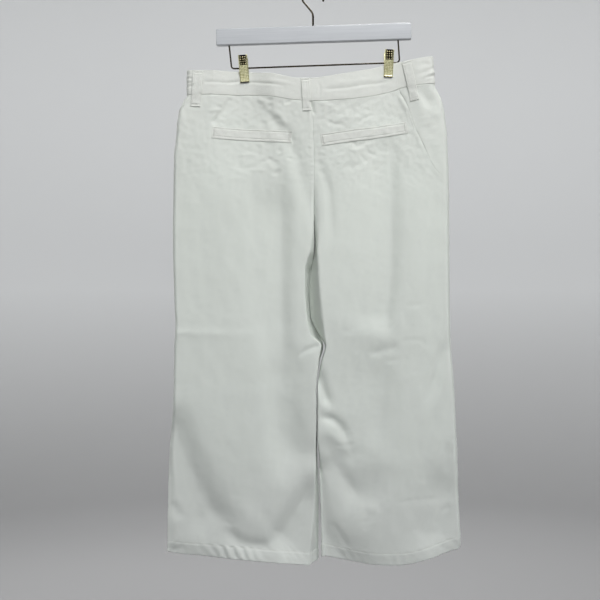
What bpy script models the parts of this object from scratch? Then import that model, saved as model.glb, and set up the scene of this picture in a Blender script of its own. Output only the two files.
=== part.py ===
"""Wide leg jeans hanging from a wooden trouser hanger, with their back to -Y.

The legs are two flattened tubes of cloth. Each level of a tube is a rounded section, worked
out from the tables below, and the four leg panels are walls between the seams of those
sections. Sizes are in millimetres. "across" is X, and "drop" is how far something hangs
below the crown of the hook, so Z is minus the drop.
"""
import math
from collections import namedtuple

import bmesh
import bpy
import numpy as np
from mathutils import Matrix, Vector
from mathutils.bvhtree import BVHTree

MM = 0.001

# ---- Cloth ---------------------------------------------------------------------------------
GAP = 0.3  # between pieces that are sewn or laid together
WAIST_GAP = 0.45  # between the waistband and the panels, whose curved edges have different columns
CLOTH = 1.6  # wall of a leg panel
HEM_CLOTH = 2.6  # wall of the turned-up hem
HEM_HEIGHT = 23.0
BAND_CLOTH = 2.4  # wall of the waistband
BAND_PROUD = 0.6  # how far the waistband stands out from the panels
TRIM_CLOTH = 1.3  # wall of a belt loop, a welt and the fly
LAID = 0.5  # from a panel to a piece laid on it

PANEL_COLUMNS = 15
PANEL_ROWS = 24
TURN_WEIGHT = 22.0  # millimetres of cloth that a radian of bend counts as, to space columns
BAND_ROWS = 2
# Columns of the waistband from the centre to the clip, under the clip, and on to the side seam.
BAND_BACK_COLUMNS = {-1: (5, 2, 4), 1: (7, 2, 1)}
# Columns from the outer fold to the clip, under the clip, and on to the centre front.
BAND_FRONT_COLUMNS = (3, 2, 6)
BAND_SEAM_DROP = 190.0
BAND_TURN = 30.0  # how far past the outer fold the closer columns go
BAND_TURN_COLUMNS = 8

# ---- Outline -------------------------------------------------------------------------------
Outer = namedtuple("Outer", "drop across")
LEFT_OUTER = (
    Outer(150, -229), Outer(203, -229), Outer(212, -235), Outer(229, -242), Outer(275, -248),
    Outer(338, -253), Outer(450, -254), Outer(575, -251), Outer(631, -249), Outer(656, -251),
    Outer(756, -253), Outer(847, -260), Outer(993, -265), Outer(1035, -266))
RIGHT_OUTER = (
    Outer(132, 218), Outer(183, 222), Outer(205, 231), Outer(229, 238), Outer(283, 244),
    Outer(392, 247), Outer(575, 247), Outer(647, 249), Outer(720, 255), Outer(866, 262),
    Outer(938, 264), Outer(1022, 269))

# Inner side of a leg. Down to the crotch the back and front seams lie on their own faces
# (share 1) and then run in between the legs to meet (share 0) as the inseam.
Inner = namedtuple(
    "Inner", "drop back_corner back_seam back_share front_corner front_seam front_share seam_y")
LEFT_INNER = (
    Inner(150, -26, -12, 1.00, -12, 0, 1.00, 0),
    Inner(212, -22, -9, 0.97, -12, 0, 0.97, 0),
    Inner(229, -15, -2, 0.95, -12, 0, 0.96, 0),
    Inner(300, -11, 1, 0.92, -11, 0, 0.94, 0),
    Inner(365, -8, 2, 0.84, -9, 1, 0.90, 0),
    Inner(410, -7, 2, 0.66, -8, 1, 0.78, 0),
    Inner(450, -8, 2, 0.34, -6, 2, 0.45, 1),
    Inner(483, -11, 2, 0.00, -2, 2, 0.00, 2),
    Inner(505, -14, 1, 0.00, 4, 1, 0.00, 3),
    Inner(550, -14, 2, 0.00, 9, 2, 0.00, 4),
    Inner(600, -11, 4, 0.00, 13, 4, 0.00, 4),
    Inner(636, -4, 11, 0.00, 17, 11, 0.00, 3),
    Inner(656, 14, 18, 0.00, 20, 18, 0.00, 1),
    Inner(684, 10, 12, 0.00, 13, 12, 0.00, 0),
    Inner(738, 5, 6, 0.00, 6, 6, 0.00, 0),
    Inner(838, 5, 6, 0.00, 8, 6, 0.00, 0),
    Inner(938, 3, 5, 0.00, 12, 5, 0.00, 0),
    Inner(1060, -8, -3, 0.00, 12, -3, 0.00, 0))
RIGHT_INNER = (
    Inner(150, 2, -12, 1.00, 12, 0, 1.00, 0),
    Inner(212, 4, -9, 0.97, 12, 0, 0.97, 0),
    Inner(229, 10, -2, 0.95, 12, 0, 0.96, 0),
    Inner(300, 13, 1, 0.92, 11, 0, 0.94, 0),
    Inner(365, 11, 2, 0.84, 10, 1, 0.90, 0),
    Inner(410, 10, 2, 0.66, 9, 1, 0.78, 0),
    Inner(450, 8, 2, 0.34, 7, 2, 0.45, 1),
    Inner(483, 7, 2, 0.00, 5, 2, 0.00, 2),
    Inner(505, 8, 6, 0.00, 7, 6, 0.00, 3),
    Inner(550, 11, 11, 0.00, 11, 11, 0.00, 4),
    Inner(600, 15, 16, 0.00, 16, 16, 0.00, 4),
    Inner(636, 20, 20, 0.00, 20, 20, 0.00, 3),
    Inner(656, 22, 22, 0.00, 23, 22, 0.00, 1),
    Inner(684, 15, 15, 0.00, 15, 15, 0.00, 0),
    Inner(738, 8, 8, 0.00, 8, 8, 0.00, 0),
    Inner(820, 8, 8, 0.00, 8, 8, 0.00, 0),
    Inner(866, 12, 12, 0.00, 12, 12, 0.00, 0),
    Inner(938, 14, 15, 0.00, 14, 15, 0.00, 0),
    Inner(1050, 18, 19, 0.00, 14, 19, 0.00, 0))

LEG_SPLIT_DEPTH = 4.0  # where the centre seams are nearer than this to each other, the walls face sideways

WIDEST = 300.0  # beyond every edge, so that a table is read at its end

# Edges that run across, as read on each face.
Edge = namedtuple("Edge", "across drop")
BAND_TOP_BACK = (
    Edge(-229, 158), Edge(-137, 159), Edge(-79, 163), Edge(-24, 173), Edge(-2, 173),
    Edge(40, 167), Edge(95, 157), Edge(149, 143), Edge(180, 138), Edge(218, 132))
BAND_BOTTOM_BACK = (
    Edge(-229, 203), Edge(-115, 202), Edge(-24, 214), Edge(-2, 215), Edge(67, 211),
    Edge(140, 196), Edge(167, 188), Edge(224, 182))
BAND_TOP_FRONT = (
    Edge(-229, 158), Edge(-124, 162), Edge(0, 179), Edge(137, 149), Edge(218, 132))
BAND_BOTTOM_FRONT = (
    Edge(-229, 203), Edge(-124, 207), Edge(0, 224), Edge(137, 196), Edge(224, 182))
LEFT_HEM_BACK = (
    Edge(-266, 1035), Edge(-249, 1037), Edge(-221, 1039), Edge(-114, 1046), Edge(-4, 1056))
LEFT_HEM_FRONT = (
    Edge(-266, 1035), Edge(-200, 1044), Edge(-100, 1050), Edge(12, 1054))
RIGHT_HEM_BACK = (
    Edge(18, 1043), Edge(57, 1050), Edge(111, 1055), Edge(156, 1054), Edge(210, 1043),
    Edge(246, 1029), Edge(269, 1022))
RIGHT_HEM_FRONT = (
    Edge(14, 1043), Edge(90, 1051), Edge(160, 1047), Edge(269, 1022))

# Half depths of the flattened garment, behind and in front of the hanger's plane.
Depth = namedtuple("Depth", "drop back front")
DEPTHS = (
    Depth(130, 8, 7), Depth(200, 10, 8), Depth(260, 15, 11), Depth(330, 20, 14),
    Depth(480, 22, 16), Depth(650, 20, 16), Depth(850, 22, 18), Depth(1060, 24, 20))
OUTER_ROUND = 20.0  # how far the outer fold's rounding reaches across
INNER_ROUND = 12.0
OUTER_STEPS = 10  # points on each half of the outer fold's rounding
INNER_STEPS = 7
LONGEST_CORNER = 0.7  # of the way from a corner to its seam that the rounding may take

# How far the side seam lies behind the outer fold, measured along the cloth.
Seam = namedtuple("Seam", "drop back_of_fold")
LEFT_SIDE_SEAM = (Seam(150, 24), Seam(203, 24), Seam(240, 8), Seam(275, 0), Seam(1060, 0))
RIGHT_SIDE_SEAM = (
    Seam(130, 56), Seam(190, 66), Seam(241, 66), Seam(301, 42), Seam(329, 28), Seam(385, 0),
    Seam(1060, 0))

# ---- Folds ---------------------------------------------------------------------------------
# A fold is a soft ridge (height above 0) or trough (below 0) along a line on one face.
Fold = namedtuple("Fold", "height width line")
BACK_FOLDS = (
    Fold(-5, 17, ((-93, 205), (-42, 256), (-20, 301), (-14, 374))),
    Fold(-4, 22, ((-53, 356), (-53, 830))),
    Fold(3, 17, ((-25, 300), (-26, 600))),
    Fold(-8, 24, ((-249, 796), (-206, 884), (-155, 966), (-127, 997), (-93, 1009), (-70, 1003))),
    Fold(-6, 18, ((-70, 1003), (-42, 947), (-10, 880))),
    Fold(4, 24, ((-250, 850), (-236, 920), (-180, 985))),
    Fold(-4, 20, ((162, 256), (162, 392), (153, 520), (140, 647))),
    Fold(-5, 20, ((234, 520), (212, 560), (206, 629))),
    Fold(-5, 20, ((232, 650), (218, 700), (202, 765))),
    Fold(-6, 20, ((20, 705), (40, 760), (62, 815))),
    Fold(-5, 26, ((140, 660), (131, 770), (114, 935))),
    Fold(-7, 24, ((20, 880), (49, 957), (95, 1020))),
    Fold(4, 20, ((30, 850), (64, 920), (90, 960))),
    Fold(-5, 20, ((232, 1002), (258, 945))))
FRONT_FOLDS = (
    Fold(-4, 22, ((-150, 300), (-140, 620))),
    Fold(-4, 22, ((60, 320), (66, 640))),
    Fold(-5, 24, ((-235, 760), (-190, 860), (-120, 950), (-80, 985), (-40, 960), (-10, 900))),
    Fold(4, 22, ((-240, 860), (-180, 960))),
    Fold(-5, 24, ((240, 740), (200, 840), (140, 940), (100, 970), (60, 930), (30, 860))),
    Fold(3, 24, ((-60, 640), (-70, 820))),
    Fold(3, 24, ((120, 420), (140, 760))))

# ---- Hanger --------------------------------------------------------------------------------
BAR_SIZE = (355.0, 12.0, 30.0)
BAR_CENTRE = (1.0, -91.0)
BAR_TILT = math.radians(1.9)
BAR_BEVEL = 1.6
HOOK_WIRE = 3.6
HOOK_RADIUS = 21.0  # to the middle of the wire
HOOK_TIP_ANGLE = math.radians(-32)
HOOK_STEPS = 22
SHANK_BEND_DROP = 52.0
SHANK_BEND = 7.0  # how far the bend's rounding reaches
SHANK_STEPS = 5
CLIP_WIRE = 3.0
CLIP_WIRE_LINE = (
    Edge(-153.5, 111.7), Edge(-146.5, 150.4), Edge(162.8, 139.0), Edge(158.6, 101.0))
CLIP_WIRE_BEND = 9.0
Clip = namedtuple("Clip", "name across wire_drop lean")
CLIPS = (Clip("clip_left", -126.2, 149.65, math.radians(4.7)),
         Clip("clip_right", 137.6, 139.93, math.radians(-2.2)))
CLIP_WIDTH = 16.8
CLIP_PLATE = 1.2
# Side view of one jaw's plate, from its lip up to its thumb end, about the wire.
Bend = namedtuple("Bend", "up out")
JAW_PROFILE = (
    Bend(-31.7, 5.0), Bend(-29.5, 3.7), Bend(-24, 3.75), Bend(-14, 4.9), Bend(-4, 7.4),
    Bend(4, 8.2), Bend(12, 9.7), Bend(21.3, 12.8))
EAR_THICK = 1.1
EAR_ACROSS = {"back": 6.6, "front": 4.9}
EAR_SHAPE = (
    Bend(4.2, 8.0), Bend(3.1, 1.0), Bend(2.2, -2.2), Bend(0, -3.1), Bend(-2.2, -2.2),
    Bend(-3.1, 1.0), Bend(-3.6, 7.4))
SPRING_RADIUS = 3.2
SPRING_LENGTH = 7.4

PINCH_FLAT = 12.0  # half width that a clip holds flat
PINCH_REACH = 46.0  # how far beside it the bands open again
PINCH_DEPTH = 2.1  # half depth of the panels' surface under a clip
PINCH_FLATTENS = 0.8  # how much of a fold's height a clip takes away
BOW_DEPTH = 5.0  # how far the bands bow out between the clips

# ---- Sewn on pieces ------------------------------------------------------------------------
Strip = namedtuple("Strip", "name top_across top_drop bottom_across bottom_drop")
BACK_LOOPS = (
    Strip("belt_loop_back_left", -208.0, 158.8, -211.5, 225),
    Strip("belt_loop_centre", -14.5, 173.3, -11, 233),
    Strip("belt_loop_back_right", 168.0, 140.5, 183.5, 213))
FRONT_LOOPS = (
    Strip("belt_loop_front_left", -86, 170.5, -86, 236),
    Strip("belt_loop_front_right", 93, 166, 93, 231))
LOOP_WIDTH = 15.0
LOOP_LIFT = 0.9
LOOP_INSET = 1.7  # from the waistband's top edge
Welt = namedtuple("Welt", "name start_across start_drop end_across end_drop")
WELTS = (Welt("welt_left", -182, 263, -38, 272), Welt("welt_right", 13, 278, 168, 254))
WELT_HEIGHT = 18.0
FLY_LENGTH = 165.0
FLY_WIDTH = 36.0
FLY_ROUND = 46.0  # height of its round end
FLY_OVERLAP = 4.0
CLOSURE_OVERLAP = 9.0
CLOSURE_UNDERLAP = 34.0
TUCK_START = 21.0  # where the right front band starts to pass under the left one
TUCK_END = 10.5
BUTTON_RADIUS = 8.5
BUTTON_HEIGHT = 3.4
BUTTON_PLACE = (-6.0, 22.0)  # across, and down from the waistband's top edge

Leg = namedtuple("Leg", "side outer inner side_seam hem_back hem_front")
LEFT = Leg(-1, LEFT_OUTER, LEFT_INNER, LEFT_SIDE_SEAM, LEFT_HEM_BACK, LEFT_HEM_FRONT)
RIGHT = Leg(1, RIGHT_OUTER, RIGHT_INNER, RIGHT_SIDE_SEAM, RIGHT_HEM_BACK, RIGHT_HEM_FRONT)


# ---- Tables --------------------------------------------------------------------------------
def read(table, key, column, at):
    """Read a column at any key, on a smooth curve that never overshoots the rows."""
    keys = np.array([getattr(row, key) for row in table], float)
    values = np.array([getattr(row, column) for row in table], float)
    at = np.clip(at, keys[0], keys[-1])
    step = np.diff(keys)
    slope = np.diff(values) / step
    before, after = slope[:-1], slope[1:]
    same_way = before * after > 0
    mean = 2 * before * after / np.where(same_way, before + after, 1)
    tangent = np.concatenate(([slope[0]], np.where(same_way, mean, 0), [slope[-1]]))
    row = np.clip(np.searchsorted(keys, at, side="right") - 1, 0, len(step) - 1)
    t = (at - keys[row]) / step[row]
    start = (2 * t**3 - 3 * t**2 + 1) * values[row] + (t**3 - 2 * t**2 + t) * step[row] * tangent[row]
    end = (3 * t**2 - 2 * t**3) * values[row + 1] + (t**3 - t**2) * step[row] * tangent[row + 1]
    return start + end


def ease(value, low, high):
    """0 at low and 1 at high, with a soft start and end."""
    t = np.clip((value - low) / (high - low), 0, 1)
    return t * t * (3 - 2 * t)


# ---- The garment's surface -----------------------------------------------------------------
def pinch(across, drop):
    """1 where a clip holds the two bands together, 0 away from it."""
    total = 0
    for clip in CLIPS:
        reach = PINCH_REACH + 0.3 * np.maximum(drop - 200, 0)
        beside = 1 - ease(np.abs(across - clip.across), PINCH_FLAT, PINCH_FLAT + reach)
        total = total + beside * (1 - ease(drop, 190, 330))
    return np.clip(total, 0, 1)


def bow(across, drop):
    """The bands' slack between the clips."""
    left, right = (clip.across for clip in CLIPS)
    along = np.clip((across - left) / (right - left), 0, 1)
    return BOW_DEPTH * np.sin(math.pi * along) ** 2 * (1 - ease(drop, 200, 300))


def smooth_line(points, steps=6):
    """A fold's line, rounded through its points."""
    points = np.array(points, float)
    padded = np.vstack((2 * points[0] - points[1], points, 2 * points[-1] - points[-2]))
    line = []
    for a, b, c, d in zip(padded, padded[1:], padded[2:], padded[3:]):
        for t in np.arange(steps) / steps:
            line.append(0.5 * (2 * b + (c - a) * t + (2 * a - 5 * b + 4 * c - d) * t**2
                               + (3 * b - a - 3 * c + d) * t**3))
    return np.array(line + [points[-1]])


def fold_height(fold, across, drop):
    """Height of one fold at points of a face: full along its line, fading beside it and at its ends."""
    line = smooth_line(fold.line)
    start = line[:-1]
    run = line[1:] - start
    length = np.hypot(run[:, 0], run[:, 1])
    travelled = np.concatenate(([0], np.cumsum(length)))[:-1]
    offset_x = across[..., None] - start[:, 0]
    offset_z = drop[..., None] - start[:, 1]
    t = np.clip((offset_x * run[:, 0] + offset_z * run[:, 1]) / length**2, 0, 1)
    away = np.hypot(offset_x - t * run[:, 0], offset_z - t * run[:, 1])
    nearest = away.argmin(axis=-1)[..., None]
    distance = np.take_along_axis(away, nearest, -1)[..., 0]
    along = np.take_along_axis(travelled + t * length, nearest, -1)[..., 0]
    total = length.sum()
    fade = min(2 * fold.width, total / 3)
    ends = ease(along, 0, fade) * (1 - ease(along, total - fade, total))
    return fold.height * np.exp(-(distance / fold.width) ** 2) * (0.25 + 0.75 * ends)


def face_offset(folds, across, drop):
    return sum(fold_height(fold, across, drop) for fold in folds)


def corner_curve(before, corner, after, steps=INNER_STEPS):
    """A rounded corner: a curve from one point to another that turns at the corner."""
    t = np.linspace(0, 1, steps)[:, None]
    return (1 - t) ** 2 * before + 2 * t * (1 - t) * corner + t**2 * after


def toward(start, end, reach, share=0.5):
    """The point that lies reach from start towards end, at most share of the way."""
    run = end - start
    length = np.hypot(*run)
    return start + run * min(reach / length, share)


def section(leg, outer_drop, inner_drop):
    """One level of a leg, flattened: points from the centre back round the outer fold to the
    centre front, with the half depths that it was drawn with."""
    outer = float(read(leg.outer, "drop", "across", outer_drop))
    level = Inner(*(float(read(leg.inner, "drop", name, inner_drop)) for name in Inner._fields))
    drop = (outer_drop + inner_drop) / 2
    back = float(read(DEPTHS, "drop", "back", drop))
    front = float(read(DEPTHS, "drop", "front", drop))
    beside = leg.side * GAP / 2
    back_y = level.seam_y - GAP / 2 - level.back_share * (back + level.seam_y)
    front_y = level.seam_y + GAP / 2 + level.front_share * (front - level.seam_y)
    back_end = np.array((level.back_seam + beside, back_y))
    front_end = np.array((level.front_seam + beside, front_y))
    back_inner = np.array((level.back_corner, -back))
    front_inner = np.array((level.front_corner, front))
    back_outer = np.array((outer, -back))
    front_outer = np.array((outer, front))
    fold = np.array((outer, 0.0))
    points = np.vstack((
        back_end[None, :],
        corner_curve(toward(back_inner, back_end, INNER_ROUND, LONGEST_CORNER), back_inner,
                     toward(back_inner, back_outer, INNER_ROUND)),
        corner_curve(toward(back_outer, back_inner, OUTER_ROUND), back_outer, fold, OUTER_STEPS),
        corner_curve(fold, front_outer, toward(front_outer, front_inner, OUTER_ROUND), OUTER_STEPS),
        corner_curve(toward(front_inner, front_outer, INNER_ROUND), front_inner,
                     toward(front_inner, front_end, INNER_ROUND, LONGEST_CORNER)),
        front_end[None, :]))
    fold_at = INNER_STEPS + OUTER_STEPS  # the first point on the outer fold
    return points, fold_at, back, front


def along_line(points):
    return np.concatenate(([0], np.cumsum(np.hypot(*np.diff(points, axis=0).T))))


def at_lengths(points, wanted):
    lengths = along_line(points)
    return np.column_stack([np.interp(wanted, lengths, points[:, axis]) for axis in (0, 1)])


def spaced(points, first, last, count):
    """Lengths from first to last, closer together where the section bends."""
    dense = np.linspace(first, last, 240)
    line = at_lengths(points, dense)
    heading = np.unwrap(np.arctan2(*np.diff(line, axis=0).T))
    turn = np.concatenate(([0], np.cumsum(np.abs(np.diff(heading))), [0]))
    turn[-1] = turn[-2]
    weight = dense - first + TURN_WEIGHT * turn
    return np.interp(np.linspace(0, weight[-1], count + 1), weight, dense)


def shaped(points, back, front, drop, folds_back, folds_front):
    """Move a flattened section's points to where the cloth hangs."""
    across, flat_y = points[:, 0], points[:, 1]
    half = np.where(flat_y < 0, back, front)
    share = np.abs(flat_y) / half
    depth = half + bow(across, drop)
    depth = depth + (PINCH_DEPTH - depth) * pinch(across, drop)
    on_face = ease(share, 0.45, 0.98)
    offset = np.where(flat_y < 0, face_offset(folds_back, across, drop),
                      face_offset(folds_front, across, drop))
    offset = offset * (1 - PINCH_FLATTENS * pinch(across, drop))
    depth = depth * share + on_face * offset
    return np.column_stack((across, np.sign(flat_y) * depth))


def inward(row, side):
    """Unit vectors to the inside of the garment from each point of a row that runs from the
    centre back to the outer fold on one side (-1 left, 1 right), and on to the centre front."""
    run = np.gradient(row, axis=0)
    run /= np.hypot(run[:, 0], run[:, 1])[:, None]
    return side * np.column_stack((-run[:, 1], run[:, 0]))


def seam_inward(leg, points, back, front, drop, seam, folds):
    """The same unit vector for both pieces that meet at a side seam."""
    beside = at_lengths(points, np.array((seam - 1.5, seam + 1.5)))
    row = shaped(beside, back, front, np.full(2, drop), *folds)
    return inward(row, leg.side)[0]


def edge_drop(table_back, table_front, across, share_front):
    back = read(table_back, "across", "drop", across)
    front = read(table_front, "across", "drop", across)
    return back + (front - back) * share_front


def front_share(points, back, front):
    """0 on the back face, 1 on the front face."""
    return ease(points[:, 1], -back, front)


def panel_rows(leg, part, rows):
    """Outer and inner grid of one leg panel; part is "back" or "front"."""
    outer_top = read(BAND_BOTTOM_BACK, "across", "drop", leg.side * WIDEST) + WAIST_GAP
    inner_top = read(BAND_BOTTOM_BACK, "across", "drop", 0) + WAIST_GAP
    outer_hem = read(leg.hem_back, "across", "drop", leg.side * WIDEST)
    inner_hem = read(leg.hem_back, "across", "drop", 0)
    outside, inside = [], []
    for v in rows:
        outer_drop = outer_top + v * (outer_hem - outer_top)
        inner_drop = inner_top + v * (inner_hem - inner_top)
        points, fold_at, back, front = section(leg, outer_drop, inner_drop)
        lengths = along_line(points)
        seam = lengths[fold_at] - read(leg.side_seam, "drop", "back_of_fold", outer_drop)
        if part == "back":
            wanted = spaced(points, 0, seam - GAP / 2, PANEL_COLUMNS)
        else:
            wanted = spaced(points, seam + GAP / 2, lengths[-1], PANEL_COLUMNS)
        flat = at_lengths(points, wanted)
        in_front = front_share(flat, back, front)
        top = edge_drop(BAND_BOTTOM_BACK, BAND_BOTTOM_FRONT, flat[:, 0], in_front) + WAIST_GAP
        hem = edge_drop(leg.hem_back, leg.hem_front, flat[:, 0], in_front)
        drop = top + v * (hem - top)
        row = shaped(flat, back, front, drop, BACK_FOLDS, FRONT_FOLDS)
        above_hem = (1 - v) * (hem - top)
        wall = CLOTH + (HEM_CLOTH - CLOTH) * ease(above_hem, 1.6 * HEM_HEIGHT, 0.9 * HEM_HEIGHT)
        way = inward(row, leg.side)
        centre_edge, side_edge = (0, -1) if part == "back" else (-1, 0)
        way[side_edge] = seam_inward(leg, points, back, front, drop[side_edge], seam,
                                     (BACK_FOLDS, FRONT_FOLDS))
        if min(abs(points[0, 1]), abs(points[-1, 1])) < LEG_SPLIT_DEPTH:
            way[centre_edge] = (leg.side, 0)
        inner_row = row + way * wall[:, None]
        outside.append(np.column_stack((row, -drop)))
        inside.append(np.column_stack((inner_row, -drop)))
    return np.array(outside), np.array(inside)


# ---- Meshes --------------------------------------------------------------------------------
def material(name, colour, roughness, metallic=0.0):
    made = bpy.data.materials.new(name)
    made.use_nodes = True
    shader = made.node_tree.nodes["Principled BSDF"]
    shader.inputs["Base Color"].default_value = (*colour, 1)
    shader.inputs["Roughness"].default_value = roughness
    shader.inputs["Metallic"].default_value = metallic
    return made


def add_object(name, mesh, finish):
    mesh.materials.append(material(name, *finish))
    made = bpy.data.objects.new(name, mesh)
    bpy.context.scene.collection.objects.link(made)
    return made


def mesh_from(name, bm):
    bmesh.ops.recalc_face_normals(bm, faces=bm.faces)
    mesh = bpy.data.meshes.new(name)
    bm.to_mesh(mesh)
    bm.free()
    return mesh


def wall_between(name, outside, inside, finish):
    """A closed wall between two grids of points."""
    rows, columns = outside.shape[:2]
    bm = bmesh.new()
    outer = [[bm.verts.new(Vector(point) * MM) for point in row] for row in outside]
    inner = [[bm.verts.new(Vector(point) * MM) for point in row] for row in inside]
    for r in range(rows - 1):
        for c in range(columns - 1):
            bm.faces.new((outer[r][c], outer[r][c + 1], outer[r + 1][c + 1], outer[r + 1][c]))
            bm.faces.new((inner[r][c], inner[r + 1][c], inner[r + 1][c + 1], inner[r][c + 1]))
    for c in range(columns - 1):
        for r in (0, rows - 1):
            bm.faces.new((outer[r][c], inner[r][c], inner[r][c + 1], outer[r][c + 1]))
    for r in range(rows - 1):
        for c in (0, columns - 1):
            bm.faces.new((outer[r][c], outer[r + 1][c], inner[r + 1][c], inner[r][c]))
    made = add_object(name, mesh_from(name, bm), finish)
    made.data.shade_smooth()
    return made


TWILL = ((0.62, 0.63, 0.59), 0.9)
WOOD = ((0.66, 0.68, 0.69), 0.4)
STEEL = ((0.55, 0.53, 0.50), 0.3, 1.0)
BRASS = ((0.72, 0.62, 0.32), 0.3, 1.0)


def make_panels():
    rows = np.linspace(0, 1, PANEL_ROWS + 1)
    for leg, side in ((LEFT, "left"), (RIGHT, "right")):
        for part in ("back", "front"):
            outside, inside = panel_rows(leg, part, rows)
            wall_between(f"{part}_{side}", outside, inside, TWILL)


def band_section(leg, w):
    """One level of the waistband's half on one side, at share w of its height."""
    top = read(BAND_TOP_BACK, "across", "drop", leg.side * WIDEST)
    bottom = read(BAND_BOTTOM_BACK, "across", "drop", leg.side * WIDEST)
    inner_top = read(BAND_TOP_BACK, "across", "drop", 0)
    inner_bottom = read(BAND_BOTTOM_BACK, "across", "drop", 0)
    return section(leg, top + w * (bottom - top), inner_top + w * (inner_bottom - inner_top))


def band_points(leg, points, back, front, w, wanted):
    flat = at_lengths(points, wanted)
    in_front = front_share(flat, back, front)
    top = edge_drop(BAND_TOP_BACK, BAND_TOP_FRONT, flat[:, 0], in_front)
    bottom = edge_drop(BAND_BOTTOM_BACK, BAND_BOTTOM_FRONT, flat[:, 0], in_front)
    drop = top + w * (bottom - top)
    row = shaped(flat, back, front, drop, (), ())
    return row, drop


def length_at(points, across, part, fold_at):
    """Length along a section to where its back or front face is at a given place across."""
    lengths = along_line(points)
    if part == "back":
        part_points, part_lengths = points[:fold_at + 1], lengths[:fold_at + 1]
    else:
        part_points, part_lengths = points[fold_at:], lengths[fold_at:]
    order = np.argsort(part_points[:, 0], kind="stable")
    return float(np.interp(across, part_points[order, 0], part_lengths[order]))


def fill(stations, counts):
    """Lengths from station to station, each stretch split evenly."""
    filled = [stations[0]]
    for start, end, count in zip(stations, stations[1:], counts):
        filled.extend(np.linspace(start, end, count + 1)[1:])
    return np.array(filled)


def clip_edges(leg, points, part, fold_at):
    """Lengths along a section to the two edges of the stretch that a clip holds flat."""
    clip = CLIPS[0] if leg.side < 0 else CLIPS[1]
    return sorted(length_at(points, clip.across + reach, part, fold_at)
                  for reach in (-PINCH_FLAT, PINCH_FLAT))


def band_seam(leg, points, fold_at):
    """Length along a section to the band's side seam, straight above the panels' own."""
    return along_line(points)[fold_at] - read(leg.side_seam, "drop", "back_of_fold", BAND_SEAM_DROP)


def back_half(leg, w):
    """Points, drops and seam direction of one side of the back band, from the centre back."""
    points, fold_at, back, front = band_section(leg, w)
    seam = band_seam(leg, points, fold_at)
    stations = [0] + clip_edges(leg, points, "back", fold_at) + [seam - GAP / 2]
    row, drop = band_points(leg, points, back, front, w, fill(stations, BAND_BACK_COLUMNS[leg.side]))
    return row, drop, seam_inward(leg, points, back, front, drop[-1], seam, ((), ()))


def front_half(leg, w):
    """The same for one front band, from its side seam to its end at the closure."""
    points, fold_at, back, front = band_section(leg, w)
    fold = along_line(points)[fold_at]
    seam = band_seam(leg, points, fold_at)
    turn = spaced(points, seam + GAP / 2, fold + BAND_TURN, BAND_TURN_COLUMNS)
    meeting = 0.0 if leg.side < 0 else TUCK_START
    stations = [turn[-1]] + clip_edges(leg, points, "front", fold_at)
    stations.append(length_at(points, meeting, "front", fold_at))
    wanted = np.concatenate((turn[:-1], fill(stations, BAND_FRONT_COLUMNS)))
    row, drop = band_points(leg, points, back, front, w, wanted)
    if leg.side < 0:
        across = np.linspace(0, CLOSURE_OVERLAP, 4)[1:]
    else:
        across = np.linspace(TUCK_END, -CLOSURE_UNDERLAP, 4)
    level = read(BAND_TOP_FRONT, "across", "drop", across) * (1 - w)
    level = level + read(BAND_BOTTOM_FRONT, "across", "drop", across) * w
    flat = np.column_stack((across, np.full(len(across), front)))
    row = np.vstack((row, shaped(flat, back, front, level, (), ())))
    if leg.side > 0:
        tucked = (BAND_CLOTH + 2 * GAP) * ease(-row[:, 0], -TUCK_START, -TUCK_END)
        row[:, 1] -= tucked * (row[:, 1] > 0)
    way = seam_inward(leg, points, back, front, drop[0], seam, ((), ()))
    return row, np.concatenate((drop, level)), way


def band_faces(row, drop, way):
    """The outer and inner face of one level of the waistband."""
    outer = row - way * BAND_PROUD
    inner = row + way * (BAND_CLOTH - BAND_PROUD)
    return np.column_stack((outer, -drop)), np.column_stack((inner, -drop))


def make_waistband():
    levels = np.linspace(0, 1, BAND_ROWS + 1)
    faces = []
    for w in levels:
        left_row, left_drop, left_way = back_half(LEFT, w)
        right_row, right_drop, right_way = back_half(RIGHT, w)
        row = np.vstack((left_row[::-1], right_row[1:]))
        way = inward(row, RIGHT.side)
        way[0], way[-1] = left_way, right_way
        faces.append(band_faces(row, np.concatenate((left_drop[::-1], right_drop[1:])), way))
    wall_between("waistband_back", *(np.array(grid) for grid in zip(*faces)), TWILL)
    for leg, name in ((LEFT, "waistband_front_left"), (RIGHT, "waistband_front_right")):
        faces = []
        for w in levels:
            row, drop, seam_way = front_half(leg, w)
            way = inward(row, leg.side)
            way[0] = seam_way
            faces.append(band_faces(row, drop, way))
        wall_between(name, *(np.array(grid) for grid in zip(*faces)), TWILL)


# ---- Pieces laid on the panels -------------------------------------------------------------
def skin(names):
    """The faceted surface of some pieces, to lay others on."""
    vertices, faces = [], []
    for name in names:
        mesh = bpy.data.objects[name].data
        start = len(vertices)
        vertices.extend(vertex.co.copy() for vertex in mesh.vertices)
        faces.extend([start + index for index in face.vertices] for face in mesh.polygons)
    return BVHTree.FromPolygons(vertices, faces)


def outermost(tree, across, drop, facing, window=2.5):
    """The y of the cloth nearest to a viewer on one side, around a point of that face."""
    found = []
    for beside in (-window, 0, window):
        for lower in (-window, 0, window):
            start = Vector((across + beside, facing * 300, -(drop + lower))) * MM
            hit = tree.ray_cast(start, Vector((0, -facing, 0)))[0]
            if hit is not None:
                found.append(hit.y / MM)
    return facing * max(facing * y for y in found)


def laid_piece(name, grid, lift, tree, facing, thick=TRIM_CLOTH):
    """A wall laid on the cloth. grid holds (across, drop) points, lift how far each row stands off."""
    inside = []
    for row, raised in zip(grid, lift):
        inside.append([(x, outermost(tree, x, drop, facing) + facing * (LAID + raised), -drop)
                       for x, drop in row])
    inside = np.array(inside)
    outside = inside + np.array((0, facing * thick, 0))
    return wall_between(name, outside, inside, TWILL)


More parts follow.
